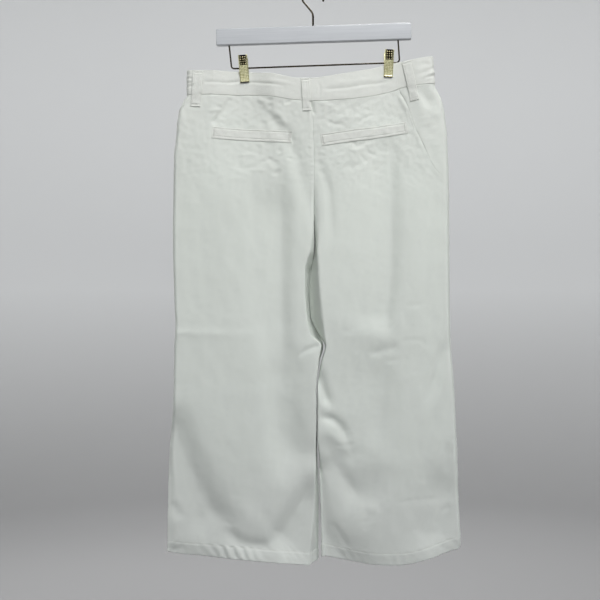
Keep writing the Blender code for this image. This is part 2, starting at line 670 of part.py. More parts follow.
def make_loops():
    for loops, facing in ((BACK_LOOPS, -1), (FRONT_LOOPS, 1)):
        tree = skin([made.name for made in bpy.data.objects if made.name.startswith(
            ("back_", "front_", "waistband_"))])
        for loop in loops:
            top = np.array((loop.top_across, loop.top_drop))
            run = np.array((loop.bottom_across, loop.bottom_drop)) - top
            length = np.hypot(*run)
            sideways = np.array((run[1], -run[0])) / length * LOOP_WIDTH / 2
            steps = np.array((0, 0.12, 0.3, 0.5, 0.62, 0.74, 0.88, 1))
            middle = top + (LOOP_INSET + steps[:, None] * (length - LOOP_INSET)) * run / length
            grid = [[place - sideways, place, place + sideways] for place in middle]
            lift = LOOP_LIFT * ease(steps, 0.0, 0.25) * (1 - ease(steps, 0.75, 1.0))
            laid_piece(loop.name, grid, lift, tree, facing)


def make_welts():
    tree = skin(("back_left", "back_right"))
    for welt in WELTS:
        start = np.array((welt.start_across, welt.start_drop))
        run = np.array((welt.end_across, welt.end_drop)) - start
        down = np.array((-run[1], run[0])) / np.hypot(*run) * WELT_HEIGHT
        steps = np.linspace(0, 1, 13)
        grid = [[start + share * run + level * down for share in steps] for level in (0, 0.5, 1)]
        laid_piece(welt.name, grid, (0, 0, 0), tree, -1)


def make_fly():
    """The fly's flap, from the waist seam down to its round end, over the centre front seam."""
    tree = skin(("front_left", "front_right"))
    top = float(read(BAND_BOTTOM_FRONT, "across", "drop", 0)) + 3 * GAP
    grid = []
    straight = FLY_LENGTH - FLY_ROUND
    levels = [straight * share for share in (0, 0.2, 0.4, 0.6, 0.8)]
    levels += [straight + FLY_ROUND * math.sin(math.radians(angle)) for angle in (0, 20, 38, 56, 78)]
    for level in levels:
        into_round = max(0.0, level - straight) / FLY_ROUND
        width = FLY_WIDTH * math.sqrt(1 - into_round**2)
        grid.append([(FLY_OVERLAP - part * (width + FLY_OVERLAP), top + level)
                     for part in (0, 0.33, 0.67, 1)])
    laid_piece("fly", grid, [0] * len(grid), tree, 1)


def make_button():
    tree = skin(("waistband_front_left",))
    across, down = BUTTON_PLACE
    drop = float(read(BAND_TOP_FRONT, "across", "drop", across)) + down
    y = outermost(tree, across, drop, 1) + LAID
    bm = bmesh.new()
    bmesh.ops.create_cone(bm, cap_ends=True, segments=20, radius1=BUTTON_RADIUS * MM,
                          radius2=0.82 * BUTTON_RADIUS * MM, depth=BUTTON_HEIGHT * MM)
    bmesh.ops.rotate(bm, verts=bm.verts, matrix=Matrix.Rotation(math.radians(-90), 3, "X"))
    made = add_object("button", mesh_from("button", bm), STEEL)
    made.location = Vector((across, y + BUTTON_HEIGHT / 2, -drop)) * MM


# ---- Hanger --------------------------------------------------------------------------------
def make_bar():
    bm = bmesh.new()
    bmesh.ops.create_cube(bm, size=MM)
    bmesh.ops.scale(bm, vec=BAR_SIZE, verts=bm.verts)
    made = add_object("hanger_bar", mesh_from("hanger_bar", bm), WOOD)
    made.location = Vector((BAR_CENTRE[0], 0, BAR_CENTRE[1])) * MM
    made.rotation_euler.y = -BAR_TILT
    bevel = made.modifiers.new("rounded edges", "BEVEL")
    bevel.width = BAR_BEVEL * MM
    bevel.segments = 2


def bar_face(across, upper):
    """Height of the bar's upper or lower face at a place across."""
    half = BAR_SIZE[2] / 2 / math.cos(BAR_TILT)
    return BAR_CENTRE[1] + (across - BAR_CENTRE[0]) * math.tan(BAR_TILT) + (half if upper else -half)


def make_wire(name, points, diameter, finish):
    curve = bpy.data.curves.new(name, "CURVE")
    curve.dimensions = "3D"
    curve.bevel_depth = diameter / 2 * MM
    curve.bevel_resolution = 2
    curve.use_fill_caps = True
    spline = curve.splines.new("POLY")
    spline.points.add(len(points) - 1)
    for point, (x, z) in zip(spline.points, points):
        point.co = (x * MM, 0, z * MM, 1)
    curve.materials.append(material(name, *finish))
    made = bpy.data.objects.new(name, curve)
    bpy.context.scene.collection.objects.link(made)


def make_hook():
    centre = Vector((0, HOOK_WIRE / 2 - HOOK_RADIUS))
    bend = Vector((0, -SHANK_BEND_DROP))
    # The straight run from the shank's bend meets the round of the hook as a tangent.
    away = bend - centre
    tangent_angle = math.atan2(away.y, away.x) - math.acos(HOOK_RADIUS / away.length) + 2 * math.pi
    angles = np.linspace(tangent_angle, HOOK_TIP_ANGLE, HOOK_STEPS)
    round_part = [centre + HOOK_RADIUS * Vector((math.cos(angle), math.sin(angle))) for angle in angles]
    foot = Vector((0, bar_face(0, True) + GAP))
    along = (round_part[0] - bend).normalized()
    rounded = corner_curve(np.array(bend - Vector((0, SHANK_BEND))), np.array(bend),
                           np.array(bend + along * SHANK_BEND), SHANK_STEPS)
    make_wire("hook", [foot, *rounded, *round_part], HOOK_WIRE, STEEL)


def rounded_corner(before, corner, after, radius, steps=6):
    """An arc that joins two straight runs at a corner."""
    back, ahead = (before - corner).normalized(), (after - corner).normalized()
    half_angle = back.angle(ahead) / 2
    reach = radius / math.tan(half_angle)
    centre = corner + (back + ahead).normalized() * radius / math.sin(half_angle)
    start, end = corner + back * reach - centre, corner + ahead * reach - centre
    points = []
    for share in np.linspace(0, 1, steps):
        direction = start.lerp(end, share).normalized()
        points.append(tuple(centre + direction * radius))
    return points


def make_clip_wire():
    corners = [Vector((edge.across, -edge.drop)) for edge in CLIP_WIRE_LINE]
    for end in (corners[0], corners[3]):
        end.y = bar_face(end.x, False) - GAP
    points = [tuple(corners[0])]
    points += rounded_corner(*corners[0:3], CLIP_WIRE_BEND)
    points += rounded_corner(*corners[1:4], CLIP_WIRE_BEND)
    points.append(tuple(corners[3]))
    make_wire("clip_wire", points, CLIP_WIRE, STEEL)


def wire_slope():
    left, right = CLIP_WIRE_LINE[1], CLIP_WIRE_LINE[2]
    return math.atan2(left.drop - right.drop, right.across - left.across)


def cutter(made):
    made.hide_render = True
    made.display_type = "WIRE"
    return made


def add_boolean(target, tool, operation):
    modifier = target.modifiers.new(operation.lower(), "BOOLEAN")
    modifier.operation = operation
    modifier.object = tool
    modifier.solver = "EXACT"


def cylinder(name, radius, length, finish):
    """A cylinder along X."""
    bm = bmesh.new()
    bmesh.ops.create_cone(bm, cap_ends=True, segments=16, radius1=radius * MM, radius2=radius * MM,
                          depth=length * MM)
    bmesh.ops.rotate(bm, verts=bm.verts, matrix=Matrix.Rotation(math.radians(90), 3, "Y"))
    return add_object(name, mesh_from(name, bm), finish)


def prism(bm, outline, low, high):
    """Extrude an outline of Bend points from low to high across."""
    ends = [[bm.verts.new(Vector((x, -point.out, point.up)) * MM) for point in outline]
            for x in (low, high)]
    count = len(outline)
    bm.faces.new(ends[0])
    bm.faces.new(ends[1][::-1])
    for i in range(count):
        j = (i + 1) % count
        bm.faces.new((ends[0][i], ends[0][j], ends[1][j], ends[1][i]))


def plate_outline():
    """The jaw's plate seen from the side, as a strip of even thickness."""
    line = np.array([(bend.up, bend.out) for bend in JAW_PROFILE])
    run = np.gradient(line, axis=0)
    run /= np.hypot(run[:, 0], run[:, 1])[:, None]
    across = np.column_stack((-run[:, 1], run[:, 0])) * CLIP_PLATE / 2
    return [Bend(*point) for point in np.vstack((line + across, (line - across)[::-1]))]


def make_jaw(clip, face):
    """One jaw: face is "back" on the -Y side, where the garment's back is, or "front"."""
    half = CLIP_WIDTH / 2
    bm = bmesh.new()
    prism(bm, plate_outline(), -half, half)
    jaw = add_object(f"{clip.name}_{face}_jaw", mesh_from(f"{clip.name}_{face}_jaw", bm), BRASS)
    bm = bmesh.new()
    for side in (-1, 1):
        middle = side * EAR_ACROSS[face]
        prism(bm, EAR_SHAPE, middle - EAR_THICK / 2, middle + EAR_THICK / 2)
    ears = cutter(add_object(f"{jaw.name}_ears", mesh_from(f"{jaw.name}_ears", bm), BRASS))
    place = Matrix.Translation(Vector((clip.across, 0, -clip.wire_drop)) * MM)
    place @= Matrix.Rotation(-clip.lean, 4, "Y")
    if face == "front":
        place @= Matrix.Rotation(math.pi, 4, "Z")
    jaw.matrix_world = place
    ears.matrix_world = place
    hole = cutter(cylinder(f"{jaw.name}_wire_hole", CLIP_WIRE / 2 + GAP, 3 * CLIP_WIDTH, STEEL))
    hole.location = Vector((clip.across, 0, -clip.wire_drop)) * MM
    hole.rotation_euler.y = -wire_slope()
    add_boolean(jaw, ears, "UNION")
    add_boolean(jaw, hole, "DIFFERENCE")


def make_clips():
    for clip in CLIPS:
        make_jaw(clip, "back")
        make_jaw(clip, "front")
        spring = cylinder(f"{clip.name}_spring", SPRING_RADIUS, SPRING_LENGTH, STEEL)
        bore = cutter(cylinder(f"{clip.name}_spring_bore", CLIP_WIRE / 2 + GAP, 2 * SPRING_LENGTH, STEEL))
        for made in (spring, bore):
            made.location = Vector((clip.across, 0, -clip.wire_drop)) * MM
            made.rotation_euler.y = -wire_slope()
        add_boolean(spring, bore, "DIFFERENCE")


def main():
    for old in list(bpy.data.objects):
        bpy.data.objects.remove(old, do_unlink=True)
    make_panels()
    make_waistband()
    make_loops()
    make_welts()
    make_fly()
    make_button()
    make_bar()
    make_hook()
    make_clip_wire()
    make_clips()


main()
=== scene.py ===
"""The looks of a pair of wide leg jeans hanging from a wooden trouser hanger, back to -Y.

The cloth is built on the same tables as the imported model, on much finer grids, with the
creases, seams, hems and stitches that the model leaves out. Tables and functions are in
millimetres, and meshes in metres. "across" is X, and "drop" is how far something hangs
below the crown of the hook, so Z is minus the drop.
"""
import math
from collections import namedtuple

import bmesh
import bpy
import numpy as np
from mathutils import Matrix, Vector
from mathutils.bvhtree import BVHTree


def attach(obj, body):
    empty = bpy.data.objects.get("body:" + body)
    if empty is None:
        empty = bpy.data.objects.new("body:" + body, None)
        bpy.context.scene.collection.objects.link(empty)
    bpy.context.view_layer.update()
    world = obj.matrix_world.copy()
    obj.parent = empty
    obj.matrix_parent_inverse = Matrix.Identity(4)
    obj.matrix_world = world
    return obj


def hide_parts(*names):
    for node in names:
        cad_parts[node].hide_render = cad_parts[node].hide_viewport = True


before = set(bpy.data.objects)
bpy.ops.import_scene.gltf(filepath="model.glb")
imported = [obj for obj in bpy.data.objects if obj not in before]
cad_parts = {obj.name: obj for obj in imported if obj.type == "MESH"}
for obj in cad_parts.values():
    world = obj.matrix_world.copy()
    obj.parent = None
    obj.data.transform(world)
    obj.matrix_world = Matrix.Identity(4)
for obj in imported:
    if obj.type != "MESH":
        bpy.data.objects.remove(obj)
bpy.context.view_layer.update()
MM = 0.001


def rows_of(kind, *values):
    """A table of named rows."""
    return tuple(kind(*row) for row in values)


# ---- Cloth ---------------------------------------------------------------------------------
GAP = 0.06  # between pieces that are sewn together
WAIST_GAP = 0.1  # between the waistband and the panels
CLOTH = 1.6  # wall of a leg panel
HEM_CLOTH = 2.6  # wall of the turned-up hem
HEM_HEIGHT = 24.0
BAND_CLOTH = 2.4  # wall of the waistband
BAND_PROUD = 0.6  # how far the waistband stands out from the panels
TRIM_CLOTH = 1.3  # wall of a belt loop and the fly
WELT_CLOTH = 1.0
LAID = 0.12  # from a panel to a piece laid on it

EDGE_STEPS = (0, 0.25, 0.7, 1.4, 2.6)  # from an edge of the cloth, for its rounding
PANEL_COLUMNS = {"back": 112, "front": 70}
PANEL_ROWS = {"back": 300, "front": 200}
HIP_ZONE = 150.0  # height of the closer rows under the waist
HIP_STEP = 1.7
HEM_ZONE = 30.0  # and at the hem
HEM_STEP = 1.3
HEM_PROUD = 0.5
HEM_GROOVE = 0.8  # how far its stitches draw it in
HEM_STITCH = 21.8  # from the edge to the line of stitches
ROPING_PITCH = 19.0
RIPPLED = -140.0  # where the hem ripples most
RIPPLED_REACH = 34
RIPPLE = 0.15  # height of the ripples everywhere, and what the worst place adds
RIPPLE_WORST = 1.5
SEAM_ROUND = 0.12  # share of the wall that an edge is rounded by, where it is sewn flat
SEAM_PROUD = 0.45  # how far a felled seam stands out
PUCKER_PITCH = 8.2  # along the centre back seam
PUCKER_HEIGHT = 0.24
PUCKERED = (262, 294, 350, 385)  # drops where the puckers start, are full, fade and end
SEAM_RISE = (0.1, 3.5, 6, 9)  # from the seam, where the felled seam starts, is full, fades and ends
TURNED = (0.2, 1.2, 6, 8)  # and the same for the side seam's turned allowance
TURNED_HEIGHT = 0.3
UNEVEN = (300, 420)  # drops between which the hips' unevenness fades
SEAM_STITCHES = (6.0, 2.0)
SEAM_STITCHED = 0.3  # share of the centre back seam's length that is top stitched
TURN_WEIGHT = 22.0  # millimetres of cloth that a radian of bend counts as, to space columns
BAND_HEIGHT = 45.0
BAND_ROWS = 30
BAND_COLUMNS = 190  # from the centre to a side seam
BAND_STITCH = 2.0
BAND_SEAM_DROP = 190.0

# ---- Outline -------------------------------------------------------------------------------
Outer = namedtuple("Outer", "drop across")
LEFT_OUTER = rows_of(Outer,
    (150, -229), (203, -229), (212, -235), (229, -242), (275, -248), (338, -253), (450, -254),
    (575, -251), (631, -249), (656, -251), (756, -253), (847, -260), (993, -265), (1035, -266))
RIGHT_OUTER = rows_of(Outer,
    (132, 218), (183, 222), (205, 231), (229, 238), (283, 244), (392, 247), (575, 247), (647, 249),
    (720, 255), (866, 262), (938, 264), (1022, 269))

# Inner side of a leg. Down to the crotch the back and front seams lie on their own faces
# (share 1) and then run in between the legs to meet (share 0) as the inseam.
Inner = namedtuple(
    "Inner", "drop back_corner back_seam back_share front_corner front_seam front_share seam_y")
LEFT_INNER = rows_of(Inner,
    (150, -26, -12, 1, -12, 0, 1, 0),
    (212, -22, -9, 0.97, -12, 0, 0.97, 0),
    (229, -15, -2, 0.95, -12, 0, 0.96, 0),
    (300, -11, 1, 0.92, -11, 0, 0.94, 0),
    (365, -8, 2, 0.84, -9, 1, 0.90, 0),
    (410, -5, 2, 0.72, -8, 1, 0.78, 0),
    (450, -4, 2, 0.60, -6, 2, 0.55, 1),
    (484, -5, 2, 0.34, -3, 2, 0.26, 2),
    (504, -12, -1, 0, -1, -1, 0, 3),
    (520, -14, -8, 0, 4, -8, 0, 7),
    (550, -14, -10, 0, 9, -10, 0, 10),
    (600, -11, -8, 0, 13, -8, 0, 9),
    (636, -4, 3, 0, 17, 3, 0, 5),
    (656, 14, 18, 0, 20, 18, 0, 1),
    (684, 10, 12, 0, 13, 12, 0, 0),
    (738, 5, 6, 0, 6, 6, 0, 0),
    (838, 5, 6, 0, 8, 6, 0, 0),
    (938, 3, 5, 0, 12, 5, 0, 0),
    (1060, -8, -3, 0, 12, -3, 0, 0))
RIGHT_INNER = rows_of(Inner,
    (150, 2, -12, 1, 12, 0, 1, 0),
    (212, 4, -9, 0.97, 12, 0, 0.97, 0),
    (229, 10, -2, 0.95, 12, 0, 0.96, 0),
    (300, 13, 1, 0.92, 11, 0, 0.94, 0),
    (365, 11, 2, 0.84, 10, 1, 0.90, 0),
    (410, 10, 2, 0.66, 9, 1, 0.78, 0),
    (450, 8, 2, 0.34, 7, 2, 0.45, 1),
    (483, 7, 2, 0, 5, 2, 0, 2),
    (508, 9, -3, 0, 7, -3, 0, 4),
    (550, 12, -7, 0, 11, -7, 0, 7),
    (600, 16, -4, 0, 16, -4, 0, 6),
    (636, 20, 12, 0, 20, 12, 0, 3),
    (656, 22, 22, 0, 23, 22, 0, 1),
    (684, 15, 15, 0, 15, 15, 0, 0),
    (738, 8, 8, 0, 8, 8, 0, 0),
    (820, 8, 8, 0, 8, 8, 0, 0),
    (866, 12, 12, 0, 12, 12, 0, 0),
    (938, 14, 15, 0, 14, 15, 0, 0),
    (1050, 18, 19, 0, 14, 19, 0, 0))
WIDEST = 300.0  # beyond every edge, so that a table is read at its end

# Edges that run across, as read on each face.
Edge = namedtuple("Edge", "across drop")
BAND_TOP_BACK = rows_of(Edge,
    (-229, 158), (-137, 159), (-79, 163), (-24, 173), (-2, 173), (40, 167), (95, 157), (149, 143),
    (180, 138), (218, 132))
BAND_BOTTOM_BACK = rows_of(Edge,
    (-229, 203), (-115, 202), (-24, 214), (-2, 215), (67, 211), (140, 196), (167, 188), (224, 182))
BAND_TOP_FRONT = rows_of(Edge, (-229, 158), (-124, 162), (0, 179), (137, 149), (218, 132))
BAND_BOTTOM_FRONT = rows_of(Edge, (-229, 203), (-124, 207), (0, 224), (137, 196), (224, 182))
LEFT_HEM_BACK = rows_of(Edge, (-266, 1035), (-249, 1037), (-221, 1039), (-114, 1046), (-4, 1056))
LEFT_HEM_FRONT = rows_of(Edge, (-266, 1035), (-200, 1044), (-100, 1050), (12, 1054))
RIGHT_HEM_BACK = rows_of(Edge,
    (18, 1043), (57, 1050), (111, 1055), (156, 1054), (210, 1043), (246, 1029), (269, 1022))
RIGHT_HEM_FRONT = rows_of(Edge, (14, 1043), (90, 1051), (160, 1047), (269, 1022))

# Half depths of the flattened garment, behind and in front of the hanger's plane.
Depth = namedtuple("Depth", "drop back front")
DEPTHS = rows_of(Depth,
    (130, 10, 7), (200, 13, 8), (260, 15.5, 11), (330, 18, 14), (480, 21, 16), (650, 21, 16),
    (820, 23, 18), (940, 19, 20), (1060, 11, 20))
OUTER_ROUND = {-1: 8.0, 1: 13.0}  # how far each outer fold's rounding reaches across
FOOT_ROUND = {-1: 2.6, 1: 0.5}  # how much of that reach each has at the hem
FOOT = (840, 980)  # where the reach changes
Rounding = namedtuple("Rounding", "drop reach")
INNER_ROUND = {  # beside the inner seams
    -1: rows_of(Rounding, (420, 12), (480, 3.4), (1060, 3.4)),
    1: rows_of(Rounding, (420, 12), (480, 3.4), (840, 3.4), (950, 30), (1060, 38))}
OUTER_STEPS = 41  # points on each half of the outer fold's rounding
INNER_STEPS = 25
LONGEST_CORNER = 0.7  # of the way from a corner to its seam that the rounding may take

# How far the side seam lies behind the outer fold, measured along the cloth.
Seam = namedtuple("Seam", "drop back_of_fold")
LEFT_SIDE_SEAM = rows_of(Seam, (150, 24), (203, 24), (240, 8), (275, 0), (1060, 0))
RIGHT_SIDE_SEAM = rows_of(Seam,
    (130, 62), (190, 74), (241, 71), (301, 53), (329, 42), (385, 6), (1060, 0))

# Places where a leg's foot swings away to the front as a whole.
Swing = namedtuple("Swing", "out across reach start end")
SWINGS = rows_of(Swing, (9.5, -235, 90, 900, 1075), (9.5, 40, 80, 880, 1075))

# How far the hem's edge stands out beyond its stitches, on the back.
Lean = namedtuple("Lean", "across out")
HEM_LEAN = rows_of(Lean,
    (-266, -1.0), (-230, -2.5), (-190, -2.0), (-150, 0.4), (-80, 2.4), (-5, 2.0), (15, -0.5),
    (60, -3.2), (110, -2.4), (160, -1.2), (220, -1.6), (269, -3.0))

# ---- Folds ---------------------------------------------------------------------------------
# A fold is a soft ridge (height above 0) or trough (below 0) along a line on one face. lower is
# its half width on the left of a line that runs down, or below one that runs to the right, and
# upper its half width on the other side. start and end are the shares of its length over which
# it fades, and shape is 2 for a soft fold and less for a sharper crease.
Fold = namedtuple("Fold", "height lower upper line start end shape", defaults=(0.3, 0.3, 2.0))


def creases(seed, count, across, drop, lean, length, height):
    """Short soft creases scattered over a part of the cloth, leaning about one way."""
    draw = np.random.default_rng(seed)
    made = []
    for _ in range(count):
        x, z = draw.uniform(*across), draw.uniform(*drop)
        angle = math.radians(lean + draw.normal(0, 24))
        reach = length * draw.uniform(0.5, 1.3) / 2
        bend = draw.normal(0, 0.12) * reach
        run = (math.cos(angle) * reach, -math.sin(angle) * reach)
        line = ((x - run[0], z - run[1]), (x + bend * run[1] / reach, z - bend * run[0] / reach),
                (x + run[0], z + run[1]))
        lower = draw.uniform(2.6, 5.0)
        rise = height * draw.uniform(-1.2, 0.7)
        upper = lower * draw.uniform(0.8, 1.5)
        made.append(Fold(rise, lower, upper, line, 0.4, 0.4))
    return tuple(made)


SEAT_FOLDS = rows_of(Fold,
    (-3.8, 4, 12, ((-147, 203), (-163, 230), (-184, 257)), 0.15, 0.15),
    (1.2, 6, 7, ((-134, 203), (-149, 230), (-172, 258)), 0.2, 0.2),
    (-3.6, 12, 14, ((-100, 206), (-74, 241), (-53, 272), (-33, 312), (-20, 354), (-11, 400),
     (-6, 457)), 0.12, 0.3),
    (2.4, 7, 7, ((-103, 204), (-85, 220), (-66, 238), (-44, 262)), 0.15, 0.25),
    (-3.0, 9, 8, ((5, 285), (13, 329), (22, 356), (30, 392), (32, 502)), 0.3, 0.4),
    (-2.0, 4, 5, ((140, 196), (152, 214), (167, 238)), 0.2, 0.3),
    (1.2, 5, 5, ((150, 198), (161, 214), (174, 238))),
    (-3.4, 6, 10, ((188, 188), (203, 212), (222, 242)), 0.3, 0.4),
    (2.0, 7, 7, ((206, 212), (228, 250))),
    (-1.0, 10, 10, ((204, 250), (222, 290)), 0.4, 0.4),
    (-2.6, 3, 4, ((-4, 212), (-1, 230), (3, 246)), 0.1, 0.4),
    # The pocket bags' edges showing through the cloth.
    (-1.0, 3, 4, ((-182, 284), (-183, 300), (-180, 318)), 0.2, 0.5),
    (-1.1, 4, 3, ((-37, 272), (-37, 300), (-40, 330)), 0.2, 0.5),
    (-1.2, 5, 6, ((-146, 318), (-130, 334), (-108, 336), (-94, 318))),
    (0.9, 3, 4, ((-138, 312), (-118, 311), (-98, 312))),
    (0.9, 3, 4, ((-128, 339), (-104, 340), (-80, 338))),
    (-1.3, 6, 7, ((-80, 326), (-62, 325)), 0.4, 0.4),
    (-1.6, 6, 7, ((50, 334), (74, 334), (92, 328)), 0.35, 0.35),
    (-1.3, 3, 3.5, ((52, 290), (60, 294), (70, 290), (80, 296), (92, 290), (112, 284)), 0.2, 0.2),
    (0.9, 4, 3, ((60, 300), (78, 304), (96, 297))),
    (-1.1, 6, 7, ((22, 246), (36, 230), (54, 220)), 0.35, 0.4),
    (-1.0, 6, 6, ((56, 226), (78, 230), (96, 222)), 0.35, 0.35),
    (0.9, 5, 6, ((30, 252), (54, 246), (76, 242)), 0.35, 0.35),
    (-1.6, 3, 4, ((80, 256), (96, 244), (116, 238), (142, 236)), 0.25, 0.35),
    (0.9, 4, 5, ((-140, 236), (-124, 242), (-118, 228)), 0.35, 0.35),
    (0.9, 4, 5, ((-104, 240), (-94, 230)), 0.35, 0.35),
) + creases(5, 34, (-178, -34), (212, 256), 8, 22, 1.5) + creases(
    8, 40, (14, 160), (208, 262), 18, 24, 1.4) + creases(
    13, 28, (-160, -34), (288, 346), 0, 22, 1.15) + creases(
    17, 28, (16, 130), (292, 340), 12, 22, 1.15)
LEFT_LEG_FOLDS = SEAT_FOLDS + creases(21, 16, (-240, -20), (560, 1000), 5, 34, 0.6) + rows_of(Fold,
    (8.0, 200, 150, ((-340, 655), (-150, 650), (120, 655)), 0.15, 0.15),
    (-8.0, 40, 46, ((-290, 1040), (-260, 1075), (-205, 1088), (-150, 1096)), 0.1, 0.3),
    (-12.0, 46, 19, ((-61, 335), (-60, 420), (-60, 560), (-61, 700)), 0.25, 0.25),
    (-12.5, 24, 42, ((-64, 610), (-64, 700), (-62, 800), (-46, 925)), 0.32, 0.36),
    (4.0, 30, 20, ((0, 620), (-1, 740), (-1, 860)), 0.3, 0.2),
    (-1.6, 18, 16, ((-106, 325), (-104, 420), (-106, 620))),
    (1.8, 30, 26, ((-160, 300), (-156, 420), (-158, 600))),
    (-5.5, 44, 60, ((-70, 842), (-34, 844), (40, 844)), 0.3, 0.15),
    (1.1, 10, 8, ((-251, 634), (-200, 634), (-120, 634), (-67, 633)), 0.02, 0.6),
    (0.7, 4, 7, ((-251, 634), (-222, 634), (-196, 636)), 0.02, 0.5),
    (-15.5, 64, 32, ((-270, 752), (-256, 799), (-238, 853), (-219, 901), (-195, 948),
     (-168, 980), (-134, 1010)), 0.22, 0.25),
    (-5.0, 14, 12, ((-172, 984), (-134, 1010), (-104, 1018), (-78, 1014), (-60, 996))),
    (-14.0, 48, 21, ((-80, 1020), (-53, 1000), (-29, 962), (-7, 918), (10, 876)), 0.2, 0.4),
    (2.0, 24, 20, ((-150, 930), (-104, 972), (-76, 966)), 0.4, 0.4),
    (-0.9, 3, 4, ((-164, 976), (-142, 982)), 0.4, 0.4),
    (-2.2, 9, 9, ((-252, 935), (-243, 978)), 0.4, 0.4),
    (-5.0, 26, 26, ((-272, 860), (-268, 940), (-266, 1045)), 0.4, 0.1),
    (-2.4, 5, 3.5, ((-29, 678), (-15, 665), (4, 657), (18, 655)), 0.35, 0.1, 1.5),
)
RIGHT_LEG_FOLDS = SEAT_FOLDS + creases(29, 22, (24, 240), (560, 1010), 15, 34, 0.7) + rows_of(Fold,
    (10.5, 260, 170, ((-120, 640), (130, 630), (340, 640)), 0.15, 0.15),
    (-10.5, 50, 16, ((139, 262), (139, 392), (138, 502), (133, 574), (121, 645)), 0.12, 0.12),
    (1.2, 12, 18, ((186, 280), (187, 392), (184, 502), (180, 630))),
    (-1.8, 15, 13, ((240, 500), (226, 548), (212, 600), (204, 650)), 0.4, 0.4),
    (-4.0, 9, 12, ((246, 628), (234, 662), (222, 700), (202, 775)), 0.3, 0.4),
    (1.6, 10, 10, ((243, 680), (233, 725), (220, 778)), 0.4, 0.4),
    (-8.0, 7, 10, ((-5, 668), (7, 706), (18, 740), (30, 776)), 0.25, 0.25),
    (2.2, 8, 8, ((2, 734), (15, 755), (32, 774)), 0.4, 0.35),
    (-5.5, 7, 9, ((6, 782), (28, 787), (48, 801), (66, 834)), 0.3, 0.35),
    (2.6, 13, 8, ((12, 798), (36, 818), (58, 844), (70, 866)), 0.3, 0.4),
    (-0.9, 4, 3, ((31, 835), (54, 836), (76, 833)), 0.3, 0.3, 1.5),
    (-1.5, 16, 9, ((50, 860), (76, 852), (100, 838)), 0.4, 0.4),
    (-5.0, 26, 14, ((24, 850), (48, 888), (74, 924), (94, 944)), 0.3, 0.35),
    (-11.0, 90, 36, ((106, 600), (110, 700), (110, 754), (106, 808), (102, 880)), 0.5, 0.33),
    (-14.0, 70, 52, ((16, 800), (40, 858), (66, 900), (98, 940), (124, 965)), 0.35, 0.35),
    (1.4, 20, 14, ((4, 836), (34, 884), (60, 930), (92, 962)), 0.2, 0.3),
    (-19.0, 60, 40, ((-30, 850), (-10, 945), (20, 1014), (60, 1050), (110, 1072), (140, 1083)),
     0.15, 0.45),
    (-1.6, 6, 6, ((35, 975), (50, 1002), (67, 1029)), 0.3, 0.2),
    (-0.7, 5, 3, ((138, 942), (160, 937), (186, 933), (240, 933)), 0.3, 0.2, 1.5),
    (1.8, 9, 9, ((92, 950), (122, 950)), 0.4, 0.4),
    (-2.4, 10, 8, ((248, 826), (243, 858), (238, 892)), 0.4, 0.4),
    (-11.0, 26, 34, ((202, 1044), (216, 1006), (229, 955), (236, 900), (238, 850)), 0.3, 0.4),
    (1.4, 9, 9, ((204, 1006), (220, 960), (226, 915)), 0.3, 0.4),
    (-1.8, 7, 8, ((98, 672), (126, 664), (156, 656)), 0.25, 0.25, 1.8),
    (-0.6, 5, 4, ((150, 647), (180, 645), (213, 647)), 0.3, 0.4),
)
FRONT_FOLDS = rows_of(Fold,
    (-4.0, 16, 18, ((-150, 290), (-146, 460), (-140, 640))),
    (2.5, 14, 14, ((-112, 270), (-108, 430), (-112, 560))),
    (-3.6, 15, 17, ((60, 300), (62, 470), (66, 650))),
    (2.2, 14, 16, ((96, 290), (102, 440), (100, 600))),
    (-2.9, 9, 9, ((30, 260), (52, 284), (84, 330))),
    (-2.5, 9, 9, ((-34, 262), (-60, 290), (-96, 332))),
    (-6.5, 18, 18, ((-240, 760), (-190, 860), (-120, 950), (-80, 985), (-40, 960), (-10, 900))),
    (4.0, 16, 16, ((-240, 860), (-210, 915), (-170, 966))),
    (-6.5, 18, 18, ((240, 740), (200, 840), (140, 940), (100, 970), (60, 930), (30, 860))),
    (3.2, 16, 16, ((235, 850), (200, 920), (160, 968))),
    (3.2, 22, 22, ((-60, 640), (-66, 730), (-70, 820))),
    (3.2, 22, 22, ((120, 420), (130, 590), (140, 760))),
    (-1.8, 5, 6, ((-250, 640), (-190, 634), (-130, 637)), 0.05, 0.4),
    (-1.8, 5, 6, ((246, 650), (190, 645), (120, 650)), 0.05, 0.4),
)
BAND_FOLDS = rows_of(Fold,
    (-0.6, 2.5, 3, ((-200, 180), (-150, 180), (-133, 178)), 0.1, 0.3),
    (-0.7, 2.2, 2.6, ((-156, 184), (-146, 178), (-120, 178), (-92, 181), (-42, 190)), 0.1, 0.3),
    (0.5, 3, 4, ((-95, 176), (-60, 180), (-36, 186))),
    (-0.6, 2.4, 3, ((13, 196), (60, 191), (110, 182), (158, 172)), 0.15, 0.3),
    (0.4, 4, 4, ((20, 186), (70, 180), (120, 170))),
    (-0.6, 2.6, 3, ((-229, 165), (-219, 166)), 0.05, 0.5),
    (-0.8, 2.6, 3, ((-229, 173), (-216, 174)), 0.05, 0.5),
    (-0.6, 2.4, 2.6, ((-229, 181), (-217, 181)), 0.05, 0.5),
    (-0.8, 2.6, 3, ((-229, 189), (-214, 187)), 0.05, 0.5),
    (-0.5, 3, 4, ((186, 152), (202, 147), (217, 148)), 0.5, 0.4),
    (-0.8, 3, 2.6, ((186, 166), (204, 161), (222, 151)), 0.5, 0.1),
    (0.7, 3, 3, ((188, 174), (204, 168), (222, 160)), 0.4, 0.1),
    (-0.7, 2.6, 3, ((200, 173), (212, 170), (222, 167)), 0.5, 0.1),
    (-0.5, 2.4, 2.6, ((196, 181), (208, 178), (220, 176)), 0.6, 0.3),
    (-0.5, 3, 3, ((9, 178), (12, 196), (10, 212))),
)

